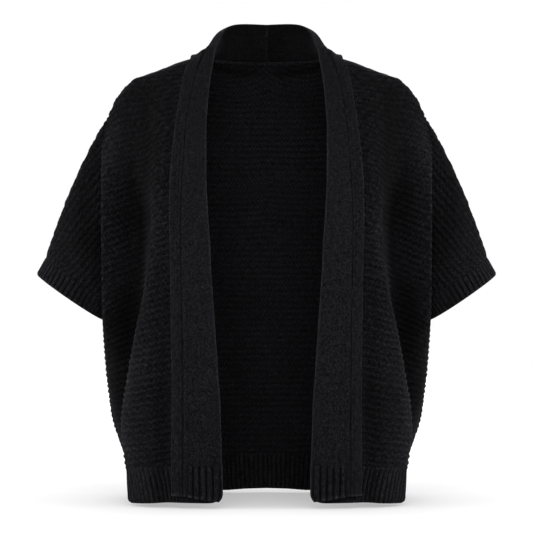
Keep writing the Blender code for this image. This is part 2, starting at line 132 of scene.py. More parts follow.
# Fold lines of a front, from the front edge out to the sleeve.  Each row: share of the
# height, then x, y and z in millimetres on the wearer's left.
FRONT_FOLDS = {
    "front edge": (
        (0.00, 117, -222, -556), (0.22, 117, -217, -433), (0.44, 119, -209, -310),
        (0.62, 121, -196, -210), (0.76, 117, -170, -132), (0.88, 111, -126, -65),
        (1.00, 99, -62, 0)),
    "valley beside the band": (
        (0.00, 137, -208, -557), (0.22, 137, -202, -437), (0.44, 138, -198, -314),
        (0.62, 138, -197, -214), (0.76, 134, -172, -136), (0.88, 129, -125, -68),
        (1.00, 123, -62, -7)),
    "middle of the panel": (
        (0.00, 159, -210, -558), (0.22, 159, -208, -441), (0.44, 154, -205, -319),
        (0.62, 150, -200, -218), (0.76, 148, -176, -141), (0.88, 148, -128, -75),
        (1.00, 145, -64, -15.5)),
    "front crest": (
        (0.00, 187, -184, -560), (0.10, 192, -187, -507), (0.22, 187, -191, -446),
        (0.34, 175, -197, -380), (0.44, 163, -199, -325), (0.62, 155, -187, -225),
        (0.76, 160, -163, -151), (0.88, 166, -117, -84), (1.00, 169, -65, -24.2)),
    "valley behind the front crest": (
        (0.00, 171, -156, -559), (0.22, 171, -150, -448), (0.34, 170, -148, -384),
        (0.44, 173, -147, -332), (0.62, 180, -139, -238), (0.76, 185, -133, -160),
        (0.88, 190, -101, -93), (1.00, 190, -67, -35)),
    "slope to the arm crest": (
        (0.00, 180, -132, -560), (0.10, 191, -132, -512), (0.22, 201, -138, -458),
        (0.34, 203, -144, -396), (0.44, 205, -151, -346), (0.62, 208, -156, -253),
        (0.76, 208, -146, -173), (0.88, 207, -102, -104), (1.00, 206, -70, -54)),
    "arm crest": (
        (0.00, 187, -106, -561), (0.10, 204, -108, -514), (0.22, 216, -113, -463),
        (0.34, 221, -129, -405), (0.44, 223, -150, -357), (0.53, 223, -161, -309),
        (0.62, 223, -165, -263), (0.76, 224, -154, -182), (0.88, 224, -99, -120),
        (1.00, 217, -75, -78)),
    "pocket behind the arm crest": (
        (0.00, 190, -92, -561), (0.10, 207, -90, -515), (0.22, 215, -94, -465),
        (0.34, 213, -101, -409), (0.42, 205, -111, -360), (0.50, 202, -119, -326),
        (0.62, 200, -127, -276), (0.76, 206, -120, -198), (0.88, 229, -100, -138),
        (1.00, 225, -77, -93)),
    "front of the sleeve": (
        (0.00, 192, -78, -562), (0.10, 208, -76, -516), (0.22, 217, -80, -466),
        (0.34, 212, -86, -410), (0.42, 203, -98, -360), (0.46, 199, -105, -334),
        (0.50, 204, -106, -333),
        (0.60, 204, -131, -309), (0.75, 228, -148, -260), (0.88, 257, -125, -208),
        (1.00, 258, -90, -157)),
}
FRONT_PLACES = (0, 20, 36, 54, 92, 113, 135, 165, 200, 245)   # mm across, last is the end

# Fold lines of the back, from the centre out to the sleeve; same columns.
BACK_FOLDS = {
    "centre back": (
        (0.00, 0, 24, -556), (0.22, 0, 22, -433), (0.44, 0, 28, -310),
        (0.62, 0, 35, -210), (0.76, 0, 34, -132), (0.88, 0, 22, -65), (1.00, 0, 0, 0)),
    "beside the centre": (
        (0.00, 42, 20, -556), (0.22, 42, 26, -433), (0.44, 44, 26, -310),
        (0.62, 45, 36, -210), (0.76, 46, 32, -131), (0.88, 48, 17, -62), (1.00, 50, -15, 0)),
    "below the shoulder point": (
        (0.00, 84, 25, -556), (0.22, 84, 22, -434), (0.44, 87, 30, -310),
        (0.62, 89, 34, -210), (0.76, 91, 26, -129), (0.88, 94, 3, -56), (1.00, 99, -62, 1)),
    "shoulder blade": (
        (0.00, 126, 17, -557), (0.22, 124, 24, -437), (0.44, 127, 26, -315),
        (0.62, 131, 31, -217), (0.76, 136, 18, -138), (0.88, 140, -6, -68),
        (1.00, 145, -64, -15)),
    "back crest": (
        (0.00, 156, 10, -559), (0.22, 156, 18, -443), (0.44, 155, 26, -323),
        (0.62, 160, 24, -226), (0.76, 166, 10, -149), (0.88, 168, -12, -80),
        (1.00, 169, -65, -24)),
    "valley behind the back crest": (
        (0.00, 176, -10, -560), (0.22, 180, -6, -450), (0.44, 181, -4, -335),
        (0.62, 186, -8, -240), (0.76, 190, -12, -162), (0.88, 191, -26, -92),
        (1.00, 190, -67, -35)),
    "back arm crest": (
        (0.00, 188, -30, -561), (0.10, 203, -24, -514), (0.22, 212, -22, -462),
        (0.34, 218, -18, -405),
        (0.44, 221, -12, -357), (0.62, 222, -4, -264), (0.76, 222, -14, -184),
        (0.88, 223, -50, -121), (1.00, 217, -75, -78)),
    "pocket behind the back arm crest": (
        (0.00, 191, -42, -561), (0.10, 207, -36, -515), (0.22, 215, -38, -465),
        (0.34, 212, -42, -409), (0.42, 204, -50, -360), (0.50, 201, -58, -326),
        (0.62, 199, -52, -276), (0.76, 206, -50, -198), (0.88, 229, -60, -138),
        (1.00, 225, -77, -93)),
    "back of the sleeve": (
        (0.00, 192, -54, -562), (0.10, 208, -49, -516), (0.22, 217, -52, -466),
        (0.34, 212, -57, -410), (0.42, 203, -73, -360), (0.46, 199, -87, -334),
        (0.50, 204, -94, -333),
        (0.60, 204, -69, -309), (0.75, 229, -46, -260), (0.88, 257, -58, -208),
        (1.00, 258, -90, -157)),
}
BACK_PLACES = (0, 44, 88, 130, 158, 184, 218, 250, 285, 330)
SHOULDER_MATCH = (            # lines that meet at the shoulder seam: front's, back's
    (0, 2), (2, 3), (3, 4), (4, 5), (6, 6), (7, 7), (8, 8), (9, 9))
NECK_LINES = ("centre back", "beside the centre")      # these end at the neck seam

# The side seam, up to the notch under the arm and out to the cuff's foot.
SIDE_SEAM = (
    (0.00, 193, -66, -562), (0.10, 209, -62, -516), (0.22, 217, -66, -466),
    (0.34, 212, -72, -411), (0.42, 203, -86, -362), (0.46, 197, -96, -330),
    (0.50, 211, -100, -340))

# The band: where its folded edge runs, by the same shares as the front edge.
BAND_FOLD = (
    (-0.09, 59.5, -226, -606), (0.00, 60.5, -227, -556), (0.11, 61.8, -227, -494),
    (0.22, 65.5, -226, -433), (0.33, 70, -223, -371), (0.44, 73.5, -218, -310),
    (0.62, 80, -206, -206), (0.76, 82.5, -181, -136), (0.88, 81.2, -133, -66),
    (0.96, 77.5, -86, -18), (1.00, 73, -58, 8))
# ... and round the neck, by the angle from the shoulder point to the centre back.
COLLAR_FOLD = (
    (0.00, 73, -58, 8), (0.25, 67, -40, 23), (0.45, 61, -21, 38.5),
    (0.62, 55.5, -8, 47), (0.80, 44, 3, 52), (1.00, 0, 8, 52.5))

# Small creases that the fold lines leave out.  Each row: millimetres across and share
# of the height at its two ends, half its width and its height in millimetres.
STROKE_HEIGHT = 0.6               # metres of fabric that their shares are of
FRONT_CREASES = (
    ("pull below the shoulder", 70, 0.93, 118, 0.66, 9, -1.3),
    ("soft bend beside the band", 24, 0.62, 40, 0.30, 10, -1.4),
    ("low fold on the panel", 47, 0.02, 62, 0.30, 8, 1.5),
    ("hollow before the front crest", 66, 0.36, 80, 0.12, 8, -1.2),
    ("pull from the underarm", 214, 0.40, 150, 0.52, 10, -1.8),
    ("second pull from the underarm", 205, 0.30, 140, 0.36, 9, 1.3),
    ("side fold", 160, 0.04, 172, 0.26, 9, 1.6),
    ("sleeve trough", 203, 0.93, 214, 0.64, 9, -1.6),
    ("sleeve ridge", 228, 0.90, 232, 0.60, 8, 1.2),
    ("chest fold", 88, 0.60, 96, 0.80, 8, 0.9),
)
BACK_CREASES = (
    ("across the nape", 20, 0.93, 78, 0.90, 12, -1.5),
    ("from the shoulder blade", 120, 0.86, 168, 0.62, 12, -1.8),
    ("lower back fold", 66, 0.05, 78, 0.44, 12, 2.0),
    ("second lower fold", 112, 0.02, 106, 0.30, 10, -1.8),
    ("centre hollow", 22, 0.10, 12, 0.48, 14, -1.6),
    ("pull from the underarm", 296, 0.42, 216, 0.54, 12, -2.0),
    ("side fold", 236, 0.04, 246, 0.30, 10, 1.8),
    ("sleeve trough", 284, 0.93, 300, 0.64, 10, -1.6),
    ("sleeve ridge", 316, 0.90, 314, 0.60, 8, 1.2),
)

# Painted shade that the hollows are given and painted highlights on the folds' fuzzy
# edges: rows as above, with a share of the yarn's colour in place of the height.
FRONT_PAINTED_LIGHT = (
    ("along the band", 14, -0.15, 12, 0.44, 9, -0.36),
    ("beside the band, chest", 24, 0.42, 26, 0.84, 9, 0.14),
    ("front of the low crest", 36, -0.10, 36, 0.24, 14, -0.08),
    ("above the low crest", 28, 0.20, 30, 0.62, 14, 0.32),
    ("beside the band, breast", 34, 0.46, 34, 0.66, 9, 0.26),
    ("outer side of the low crest", 61, 0.45, 60, 0.66, 13, -0.60),
    ("low front crest", 54, -0.22, 54, 0.34, 6, 0.90),
    ("behind the front crest", 111, -0.10, 107, 0.50, 15, -0.66),
    ("trough before the arm", 101, 0.28, 96, 0.74, 20, -0.34),
    ("chest", 66, 0.60, 64, 1.14, 52, -0.50),
    ("over the chest", 62, 0.44, 55, 0.96, 13, -0.28),
    ("arm crest", 120, 0.42, 116, 0.92, 16, 0.52),
    ("edge of the arm crest", 129, 0.30, 128, 0.92, 3, 0.40),
    ("along the shoulder seam", 30, 1.0, 165, 1.0, 9, 1.9),
    ("top of the shoulder", 20, 1.0, 190, 1.0, 24, 0.8),
    ("along the seam over the arm", 130, 1.0, 260, 1.0, 11, 0.9),
    ("behind the arm crest", 226, 0.60, 186, 0.97, 17, -0.46),
    ("sleeve", 236, 0.72, 216, 1.04, 26, -0.14),
)
BACK_PAINTED_SHADE = (
    ("under the neck seam", 0, 0.975, 92, 0.972, 7, -0.65),
)

# Where ridges of the front run lower or higher than the fabric's own length has them:
# millimetres across and shares of the height at which it starts, is full, stays full
# and ends, then millimetres.
RIDGE_TURNS = (
    ("droop towards the hem", (0, 80, 110, 245), (-1.0, -0.5, 0.0, 0.36), 9.0),
    ("level at the shoulder", (0, 70, 200, 246), (0.76, 1.0, 2.0, 3.0), -17.0),
    ("steep down the sleeve", (190, 245, 300, 400), (0.52, 0.82, 0.86, 1.0), 14.0),
)
# Where the front's weight pulls its ridges flat: the same, with a share.
FRONT_PULLS = (
    ("over the chest", (-2, -1, 60, 120), (0.42, 0.72, 2.0, 3.0), 1.0),
    ("arm crest", (112, 122, 132, 142), (0.10, 0.30, 0.90, 1.0), 0.9),
)
BACK_PULL = 0.25
FRONT_STRETCH = 0.945             # ridges for the same length on the front, to the back
BACK_SIDES = (150, 330, 400, 500)      # where the back's ridges come to match the front's

# Seeds of what is uneven; a panel also takes some of the next seven.
SEEDS = {"front": 3, "back": 11, "hem": 23, "cuff": 31, "band": 41, "strip": 43,
         "band's shade": 45, "strip's shade": 47}

# ---------------------------------------------------------------------- settings
class CardiganKnit(bpy.types.PropertyGroup):
    ridge_pitch: FloatProperty(
        name="Ridge pitch", description="One ridge of the garter stitch, two rows",
        default=8.3 * MM, min=3 * MM, max=20 * MM, unit="LENGTH")
    stitch_width: FloatProperty(
        name="Stitch width", description="One loop of the garter stitch, across",
        default=5.0 * MM, min=2 * MM, max=10 * MM, unit="LENGTH")
    ridge_height: FloatProperty(
        name="Ridge height", description="From the valleys to the crests of the ridges",
        default=1.3 * MM, min=0.0, max=3 * MM, unit="LENGTH")
    hem_rib_pitch: FloatProperty(
        name="Hem rib pitch", description="One rib and one hollow of the hem",
        default=6.8 * MM, min=3 * MM, max=15 * MM, unit="LENGTH")
    cuff_rib_pitch: FloatProperty(
        name="Cuff rib pitch", description="One rib and one hollow of the cuffs",
        default=7.8 * MM, min=3 * MM, max=15 * MM, unit="LENGTH")
    band_rib_pitch: FloatProperty(
        name="Band rib pitch", description="One rib and one hollow of the bands' ends",
        default=9.1 * MM, min=3 * MM, max=15 * MM, unit="LENGTH")
    rib_height: FloatProperty(
        name="Rib height", description="From the hollows to the crests of the ribs",
        default=2.2 * MM, min=0.0, max=3 * MM, unit="LENGTH")
    rib_lean: FloatProperty(
        name="Rib lean", description="Lean of the front hem ribs towards the centre",
        default=math.radians(11), min=0.0, max=math.radians(30), subtype="ANGLE")
    wale_width: FloatProperty(
        name="Wale width", description="One column of stitches of the band's jersey",
        default=3.2 * MM, min=1 * MM, max=6 * MM, unit="LENGTH")


class CardiganYarn(bpy.types.PropertyGroup):
    ridged: FloatVectorProperty(
        name="Ridged knit", description="Colour of the yarn of the panels",
        default=(0.0068, 0.0068, 0.0078), min=0.0, max=1.0, size=3, subtype="COLOR")
    rib: FloatVectorProperty(
        name="Ribs", description="Colour of the yarn of the hem and cuffs",
        default=(0.0072, 0.0072, 0.0082), min=0.0, max=1.0, size=3, subtype="COLOR")
    band: FloatVectorProperty(
        name="Band", description="Colour of the yarn of the front band",
        default=(0.0068, 0.0068, 0.0078), min=0.0, max=1.0, size=3, subtype="COLOR")
    thread: FloatVectorProperty(
        name="Stitching", description="Colour of the linking stitches",
        default=(0.0088, 0.0088, 0.0098), min=0.0, max=1.0, size=3, subtype="COLOR")


class CardiganStitching(bpy.types.PropertyGroup):
    chain_length: FloatProperty(
        name="Chain stitch", description="Length of one link along the band's stitched line",
        default=4.6 * MM, min=2 * MM, max=10 * MM, unit="LENGTH")
    chain_width: FloatProperty(
        name="Chain width", description="Width of one link",
        default=2.3 * MM, min=1 * MM, max=5 * MM, unit="LENGTH")
    thread_radius: FloatProperty(
        name="Thread radius", description="Radius of the linking yarn",
        default=0.45 * MM, min=0.1 * MM, max=1 * MM, unit="LENGTH")
    seed: IntProperty(
        name="Seed", description="Seed of the stitches' unevenness", default=7, min=0)


class CardiganStage(bpy.types.PropertyGroup):
    floor_drop: FloatProperty(
        name="Floor drop", description="From the hem down to the floor",
        default=1.5 * MM, min=0.0, max=0.1, unit="LENGTH")
    lens: FloatProperty(
        name="Lens", description="Focal length of the camera", default=166.4,
        min=20.0, max=400.0, unit="CAMERA")
    distance: FloatProperty(
        name="Camera distance", description="From the origin to the camera, along Y",
        default=3.5, min=0.5, max=10.0, unit="LENGTH")


# ----------------------------------------------------------------- shares and splines
def climb(value, start, end):
    """Share of the way from start to end, 0 before it and 1 beyond it."""
    return np.clip((value - start) / (end - start), 0, 1)


def smooth(share):
    """The same share, starting and ending softly."""
    return share * share * (3 - 2 * share)


def trapezoid(value, corners):
    """0, rising softly to 1 and back to 0 again, at the four corners."""
    start, full, wane, end = corners
    return smooth(np.minimum(climb(value, start, full), climb(value, end, wane)))


def bell(off, half_width):
    """1 in the middle, falling off softly to both sides."""
    return np.exp(-(off / half_width) ** 2)


def unit(vectors):
    return vectors / np.maximum(np.linalg.norm(vectors, axis=-1, keepdims=True), 1e-12)


def mirrored(grid, side):
    return grid * np.array((side, 1.0, 1.0))


def spline(knots, values, where):
    """Natural cubic spline through the rows of values at knots, read at where."""
    knots = np.asarray(knots, float)
    values = np.asarray(values, float)
    where = np.asarray(where, float)
    step = np.diff(knots)
    slope = np.diff(values, axis=0) / step[:, None]
    count = len(knots)
    system = np.eye(count)
    right = np.zeros_like(values)
    for i in range(1, count - 1):
        system[i, i - 1:i + 2] = step[i - 1], 2 * (step[i - 1] + step[i]), step[i]
        right[i] = 6 * (slope[i] - slope[i - 1])
    bend = np.linalg.solve(system, right)
    i = np.clip(np.searchsorted(knots, where) - 1, 0, count - 2)
    span = step[i][:, None]
    after = (where - knots[i])[:, None] / span
    before = 1 - after
    curve = (before ** 3 - before) * bend[i] + (after ** 3 - after) * bend[i + 1]
    return before * values[i] + after * values[i + 1] + curve * span ** 2 / 6


def distances(points, axis):
    """Length along a grid from its first row, along one axis."""
    step = np.linalg.norm(np.diff(points, axis=axis), axis=-1)
    start = np.zeros_like(np.take(step, [0], axis=axis))
    return np.concatenate((start, np.cumsum(step, axis=axis)), axis=axis)


def spaced(length, step):
    return np.linspace(0, length, int(round(length / step)) + 1)


# ----------------------------------------------------------------- panels' mid-walls
def fold_line(rows, shares, over_shoulder=False):
    """Points of one fold line, in metres; over the shoulder it runs on level, along Y."""
    table = np.array(rows, float)
    if over_shoulder:
        share, x, y, z = table[-2]
        beyond = (2 - share, x, 2 * table[-1, 2] - y, z)
        table = np.vstack((table, beyond))
    return spline(table[:, 0], table[:, 1:] * MM, shares)


def cuff_ring(ellipse, angle, face):
    """Points of an ellipse; angle 0 is its lower end, pi its top; face -1 is in front."""
    top, foot = np.array(ellipse[:2]) * MM
    depth = np.array((0.0, ellipse[2] * face * MM, 0.0))
    angle = np.asarray(angle, float)[:, None]
    return (top + foot) / 2 - np.cos(angle) * (top - foot) / 2 + np.sin(angle) * depth


def outer_end(shares, face):
    """The panel's outer end: the side seam, then its half of the cuff ring."""
    shares = np.asarray(shares, float)
    seam = fold_line(SIDE_SEAM, np.minimum(shares, CUFF_SHARE))
    ring = cuff_ring(CUFF_START, np.pi * climb(shares, CUFF_SHARE, 1), face)
    return np.where((shares <= CUFF_SHARE)[:, None], seam, ring)


def panel(folds, places, face, across, shares):
    """Grid of points (across, share, xyz) of a front or of half of the back."""
    lines = [fold_line(rows, shares, over_shoulder=name not in NECK_LINES)
             for name, rows in folds.items()]
    lines.append(outer_end(shares, face))
    stack = np.array(lines).reshape(len(lines), -1)
    knots = np.array(places, float) / places[-1]
    return spline(knots, stack, across).reshape(len(across), len(shares), 3)


def front(across, shares):
    return panel(FRONT_FOLDS, FRONT_PLACES, -1, across, shares)


def back_place(across):
    """Where a front's place across meets the back's, seam to seam."""
    ours = np.array(FRONT_PLACES, float) / FRONT_PLACES[-1]
    theirs = np.array(BACK_PLACES, float) / BACK_PLACES[-1]
    pairs = np.array(SHOULDER_MATCH)
    return np.interp(across, ours[pairs[:, 0]], theirs[pairs[:, 1]])


def neck_seam(share):
    """Back neck seam, from the centre back (0) to the shoulder point (1)."""
    share = np.clip(np.asarray(share, float), 0, 1)
    end = np.array(FRONT_FOLDS["front edge"][-1][1:]) * MM
    return np.stack([end[0] * share, end[1] * share ** NECK_CURVE, end[2] * share], 1)


def back(across, shares):
    """Half of the back; its top is eased on to the shoulder seam of the front."""
    shoulder = np.array((1.0,))
    points = panel(BACK_FOLDS, BACK_PLACES, 1, across, shares)
    top = panel(BACK_FOLDS, BACK_PLACES, 1, across, shoulder)[:, 0]
    start = back_place(np.zeros(1))[0]
    finer = np.linspace(0, 1, 400)
    seam = front(finer, shoulder)[:, 0]
    place = np.interp(np.maximum(across, start), back_place(finer), finer)
    aim = np.stack([np.interp(place, finer, seam[:, k]) for k in range(3)], 1)
    aim = np.where((across < start)[:, None], neck_seam(across / start), aim)
    ease = climb(shares, BACK_EASE, 1) ** 2
    return points + ease[None, :, None] * (aim - top)[:, None, :]


def both_halves(half):
    """The whole back from its half: the wearer's right, then the left."""
    return np.concatenate((mirrored(half[:0:-1], RIGHT), half))


def below_panel(top, tuck_share, steps, longer=0.0):
    """Hem rib under a panel's lowest row: straight down, drawn in where it turns back."""
    inward = np.array(HEM_CENTRE) - top
    inward[:, 2] = 0
    inward = unit(inward) * climb(tuck_share, *TUCK_ACROSS)[:, None] ** 1.5
    drawn = HEM_TUCK * (0.5 + steps / 2) + HEM_ROUND * climb(steps, *ROUND_DOWN) ** 2
    drawn = drawn * climb(steps, *TUCK_DOWN)
    down = np.stack(np.broadcast_arrays(0.0, 0.0, -HEM_DEPTH - longer), -1)
    return (top[:, None] + down.reshape(-1, 1, 3) * steps[None, :, None]
            + inward[:, None] * drawn[None, :, None])


# ------------------------------------------------------------------ band's mid-walls
def panel_normal(sheet, across, shares, outward):
    """Outward normal of a front or the back at these places and shares, one by one."""
    step = 0.01
    normals = []
    for place, share in zip(across, shares):
        corner = sheet(np.array((place, place + step)), np.array((share - step, share)))
        normal = np.cross(corner[1, 1] - corner[0, 1], corner[0, 1] - corner[0, 0])
        normals.append(normal * outward)
    return unit(np.array(normals))


def front_stations(shares):
    """Seam, fold, foot of the free edge and outward normal, up the front edge."""
    up = np.maximum(shares, 0)
    under_hem = np.minimum(shares, 0)[:, None] / HEM_SHARE * np.array((0, 0, HEM_DEPTH))
    seam, foot = front(np.array((0.0, OVERLAP_PLACE)), up) + under_hem
    normal = panel_normal(front, np.full(len(up), OVERLAP_PLACE), np.maximum(up, 0.01), 1)
    return [seam, fold_line(BAND_FOLD, shares), foot, normal]


def collar_stations(rounds):
    """The same, from the shoulder point (0) round to the centre back (1)."""
    start, beside = back_place(np.array((0.0, OVERLAP_PLACE)))
    turned = (1 - rounds) ** 3
    across = start * (1 - rounds) + (beside - start) * turned
    shares = 1 - OVERLAP_SHARE * (1 - turned)
    foot = np.array([back(np.array((place,)), np.array((share,)))[0, 0]
                     for place, share in zip(across, shares)])
    normal = panel_normal(back, across, shares, -1)
    return [neck_seam(1 - rounds), fold_line(COLLAR_FOLD, rounds), foot, normal]


def band_layers():
    """Mid-wall grids (station, point, xyz) of the folded band and of its edge strip."""
    low, high = front_stations(BAND_SHARES), collar_stations(COLLAR_ROUNDS)
    high[3][0] = low[3][-1] = unit(low[3][-1] + high[3][0])
    seam, fold, foot, normal = [np.concatenate((a, b[1:])) for a, b in zip(low, high)]
    along = np.gradient((seam + fold) / 2, axis=0)
    along[-1] = (-1.0, 0.0, 0.0)
    normal[-1, 0] = 0
    width = np.linalg.norm(fold - seam, axis=1, keepdims=True)
    up = (fold - seam) / width
    out = unit(np.cross(along, up))

    # the inner layer, the fold and, from the corner over the seam, the strip's own line
    turn = width - BAND_FOLD_RADIUS
    inner = [seam + up * a for a in (INNER_START, turn * 0.5)]
    bend = [seam + up * (turn + BAND_FOLD_RADIUS * np.cos(angle))
            + out * BAND_FOLD_RADIUS * (1 + np.sin(angle)) for angle in BEND_ANGLES]
    lean = BAND_LIFT * (out + normal) / (1 + (out * normal).sum(1, keepdims=True))
    corner = seam + lean
    free = foot + unit(normal) * BAND_LIFT
    inward = unit(bend[-1] - corner)
    before = corner + inward * CORNER_ROUND
    after = corner + unit(free - corner) * CORNER_ROUND
    middle = (before + 2 * corner + after) / 4
    strip_reach = BAND_EDGE_WIDTH - BAND_OVERLAP
    main_end = corner + inward * (strip_reach + BAND_EDGE_GAP)

    # gathered round the shoulder
    where = np.arange(len(corner)) - (len(BAND_SHARES) - 1)
    pinch = np.interp(where, *PINCH)[:, None]
    aside = unit((fold - PUFF_CENTRE) * PUFF_SPREAD) + PUFF_RISE
    puff = np.interp(where, *PUFF)[:, None] * MM * aside
    corner = corner + pinch * PINCHED_CORNER
    free = free + pinch * PINCHED_EDGE
    main_end = main_end + pinch * PINCHED_JOINT
    swollen = (bend[-1] + main_end) / 2 + PUFF_OUTSIDE * puff
    bend[2:] = [point + share * puff for point, share in zip(bend[2:], PUFF_ROUND_FOLD)]

    drawn = np.interp(np.r_[BAND_SHARES, np.ones(len(COLLAR_ROUNDS) - 1)], *STRIP_DRAW)
    free = free + unit(corner - free) * MM * drawn[:, None]
    main = inner + bend + [swollen, main_end]
    strip = [corner + inward * strip_reach, before, middle, after, free]
    return np.stack(main, 1), np.stack(strip, 1)


def resampled(grid, stations, places):
    """A coarse grid (station, point) read on finer rows by splines along and across."""
    along = distances(grid, 0).mean(1)
    across = distances(grid, 1).mean(0)
    points = grid.shape[1]
    rows = spline(along, grid.reshape(len(grid), -1), stations)
    rows = rows.reshape(len(stations), points, 3).transpose(1, 0, 2)
    return spline(across, rows.reshape(points, -1), places).reshape(
        len(places), len(stations), 3)


def raised_end(grid, stations, lift):
    """Lifts the lower end of a layer by these shares across, less further up."""
    grid = grid.copy()
    grid[..., 2] += lift[:, None] * BAND_END_RISE * climb(stations, HEM_DEPTH, 0)[None]
    return grid


# ---------------------------------------------------------------- knit in the mesh
LOOP_OFF, LOOP_STRAY, LOOP_HALF = 0.12, 0.10, 0.17     # of a loop, as shares of a ridge
PLAIN_ROWS, BEADED_ROWS, BEADS = 0.60, 0.24, 0.72      # heights of rows and of loops
LOOP_KINDS = (97, 89)             # rows and stitches after which the loops' kinds recur
RIB_HOLLOW = 0.17                 # half a hollow, as a share of a rib and hollow
BAND_RIB_HOLLOW = 0.19
# Painted shade in a rib's hollow and painted light on its crest:
HOLLOW_PAINTED_SHADE, CREST_PAINTED_LIGHT = 0.24, 1.26        # shares of the yarn's colour seen on a rib
# How far in from a knitted edge its painted highlight reaches:
EDGE_ROW = 2.0 * MM               # how far in a knitted edge catches the light
COLUMN = 5.4 * MM                 # of stitches, beside a seam
COLUMN_TONE, COLUMN_FADE = -0.13, 10.0 * MM
RIM_WALL = 0.30                   # share of a wall's thickness that its very edge has


def grid_normals(points, tube=False):
    """Unit normals of a grid: its first axis crossed with its second."""
    if tube:
        ring = np.concatenate((points[-1:], points, points[:1]))
        across = np.gradient(ring, axis=0)[1:-1]
    else:
        across = np.gradient(points, axis=0)
    return unit(np.cross(across, np.gradient(points, axis=1)))


def unevenness(u, v, seed, shortest, longest, terms=9):
    """Smooth random height, about -1 to 1, with waves between two lengths in metres."""
    dice = np.random.default_rng(seed)
    total = np.zeros(np.broadcast(u, v).shape)
    for _ in range(terms):
        length = math.exp(dice.uniform(math.log(shortest), math.log(longest)))
        turn, phase = dice.uniform(0, math.pi), dice.uniform(0, 2 * math.pi)
        along = (u * math.cos(turn) + v * math.sin(turn)) / length
        total = total + np.sin(2 * math.pi * along + phase)
    return total / math.sqrt(terms)


def garter(u, v, knit, beads, seed):
    """Height of garter stitch, 0 in the valleys to 1 on the ridges' loops."""
    row = v / knit.ridge_pitch
    stitch = u / knit.stitch_width + 0.0 * v
    kinds = np.random.default_rng(seed).random((4, *LOOP_KINDS))
    which = (np.floor(row).astype(int) % LOOP_KINDS[0],
             np.floor(stitch + 0.5).astype(int) % LOOP_KINDS[1])
    beside = (which[0], np.floor(stitch).astype(int) % LOOP_KINDS[1])
    off = row - np.floor(row) - 0.5
    upper = bell(off - LOOP_OFF + LOOP_STRAY * (kinds[0][which] - 0.5), LOOP_HALF)
    lower = bell(off + LOOP_OFF + LOOP_STRAY * (kinds[1][beside] - 0.5), LOOP_HALF)
    if not beads:
        return PLAIN_ROWS * (upper + lower)
    share = np.cos(math.pi * stitch) ** 2
    loops = (share * upper * (0.5 + kinds[2][which])
             + (1 - share) * lower * (0.5 + kinds[3][beside]))
    return BEADED_ROWS * (upper + lower) + BEADS * loops


def rib(position, pitch, hollow=RIB_HOLLOW):
    """Height of a rib, -1 in its narrow hollow to 1 on the broad crest."""
    turns = position / pitch
    return 1 - 2 * bell(turns - np.round(turns), hollow)


def both_ribs(place, pitch):
    """Heights of the ribs on the outer and on the inner face, crests against hollows."""
    return [rib(place + shift, pitch) for shift in (0, pitch / 2)]


def ribbed_walls(outer, inner, amplitude, wall):
    """Heights of the two faces of a rib over its mid-wall, in metres."""
    half = wall / 2 - 0.2 * amplitude
    return half + amplitude / 2 * outer, half + amplitude / 2 * inner


def grown_walls(faces, start, knit):
    """The same for a rib that grows, by the share start, out of the panel that it joins."""
    return [JOIN_FACE + (face - JOIN_FACE) * start
            for face in ribbed_walls(*faces, knit.rib_height, RIB_WALL)]


def rib_painted_light(height):
    """Share of the yarn's colour on a rib: painted shade in its hollow, light on its crest."""
    return HOLLOW_PAINTED_SHADE + (CREST_PAINTED_LIGHT - HOLLOW_PAINTED_SHADE) * (1 + height) / 2


def edge_painted_highlight(distance):
    """A painted highlight: 1 at a knitted edge, to 0 a row inside it."""
    return bell(distance, EDGE_ROW)


def columns(distance):
    """Share by which columns of stitches beside a seam are lighter, fading away from it."""
    beat = np.cos(2 * np.pi * distance / COLUMN)
    return COLUMN_TONE * beat * np.exp(-distance / COLUMN_FADE)


def strokes(table, u, v_share, bent=0.0, fade=1.2):
    """Sum of soft strokes at places u, in metres, and shares of the height."""
    total = np.zeros(np.broadcast(u, v_share).shape)
    v = v_share * STROKE_HEIGHT
    for _, u0, s0, u1, s1, half_width, amount in table:
        start = np.array((u0 * MM, s0 * STROKE_HEIGHT))
        run = np.array((u1 * MM, s1 * STROKE_HEIGHT)) - start
        length = np.hypot(*run)
        ahead = ((u - start[0]) * run[0] + (v - start[1]) * run[1]) / length ** 2
        side = ((u - start[0]) * run[1] - (v - start[1]) * run[0]) / length
        bow = bent * length * np.sin(math.pi * np.clip(ahead, 0, 1))
        ends = np.clip(1 - (2 * ahead - 1) ** 2, 0, 1) ** fade
        total += amount * ends * bell(side - bow, half_width * MM)
    return total


def patch(u, shares, places, heights):
    """1 over a soft-edged patch of a panel, given in millimetres across and in shares."""
    return trapezoid(u[:, None] / MM, places) * trapezoid(shares[None], heights)


def edge_taper(distance, reach):
    """Share of the wall's thickness near an edge: rounded off like a roll."""
    inside = np.clip(distance / reach, 0, 1)
    return RIM_WALL + (1 - RIM_WALL) * np.sqrt(1 - (1 - inside) ** 2)


# ------------------------------------------------------------------------- meshes
def linked(name, mesh):
    """A new object of a mesh, in the scene."""
    piece = bpy.data.objects.new(name, mesh)
    bpy.context.scene.collection.objects.link(piece)
    return piece


def rim_paths(spans, rows, tube):
    """Grid corners along the open edges of a skin, in the order that faces them outwards."""
    foot = [(a, 0) for a in range(spans + 1)]
    head = [(a, rows - 1) for a in range(spans, -1, -1)]
    if tube:
        return [foot, head]
    far = [(spans, b) for b in range(1, rows - 1)]
    near = [(0, b) for b in range(rows - 2, 0, -1)]
    return [foot + far + head + near + foot[:1]]


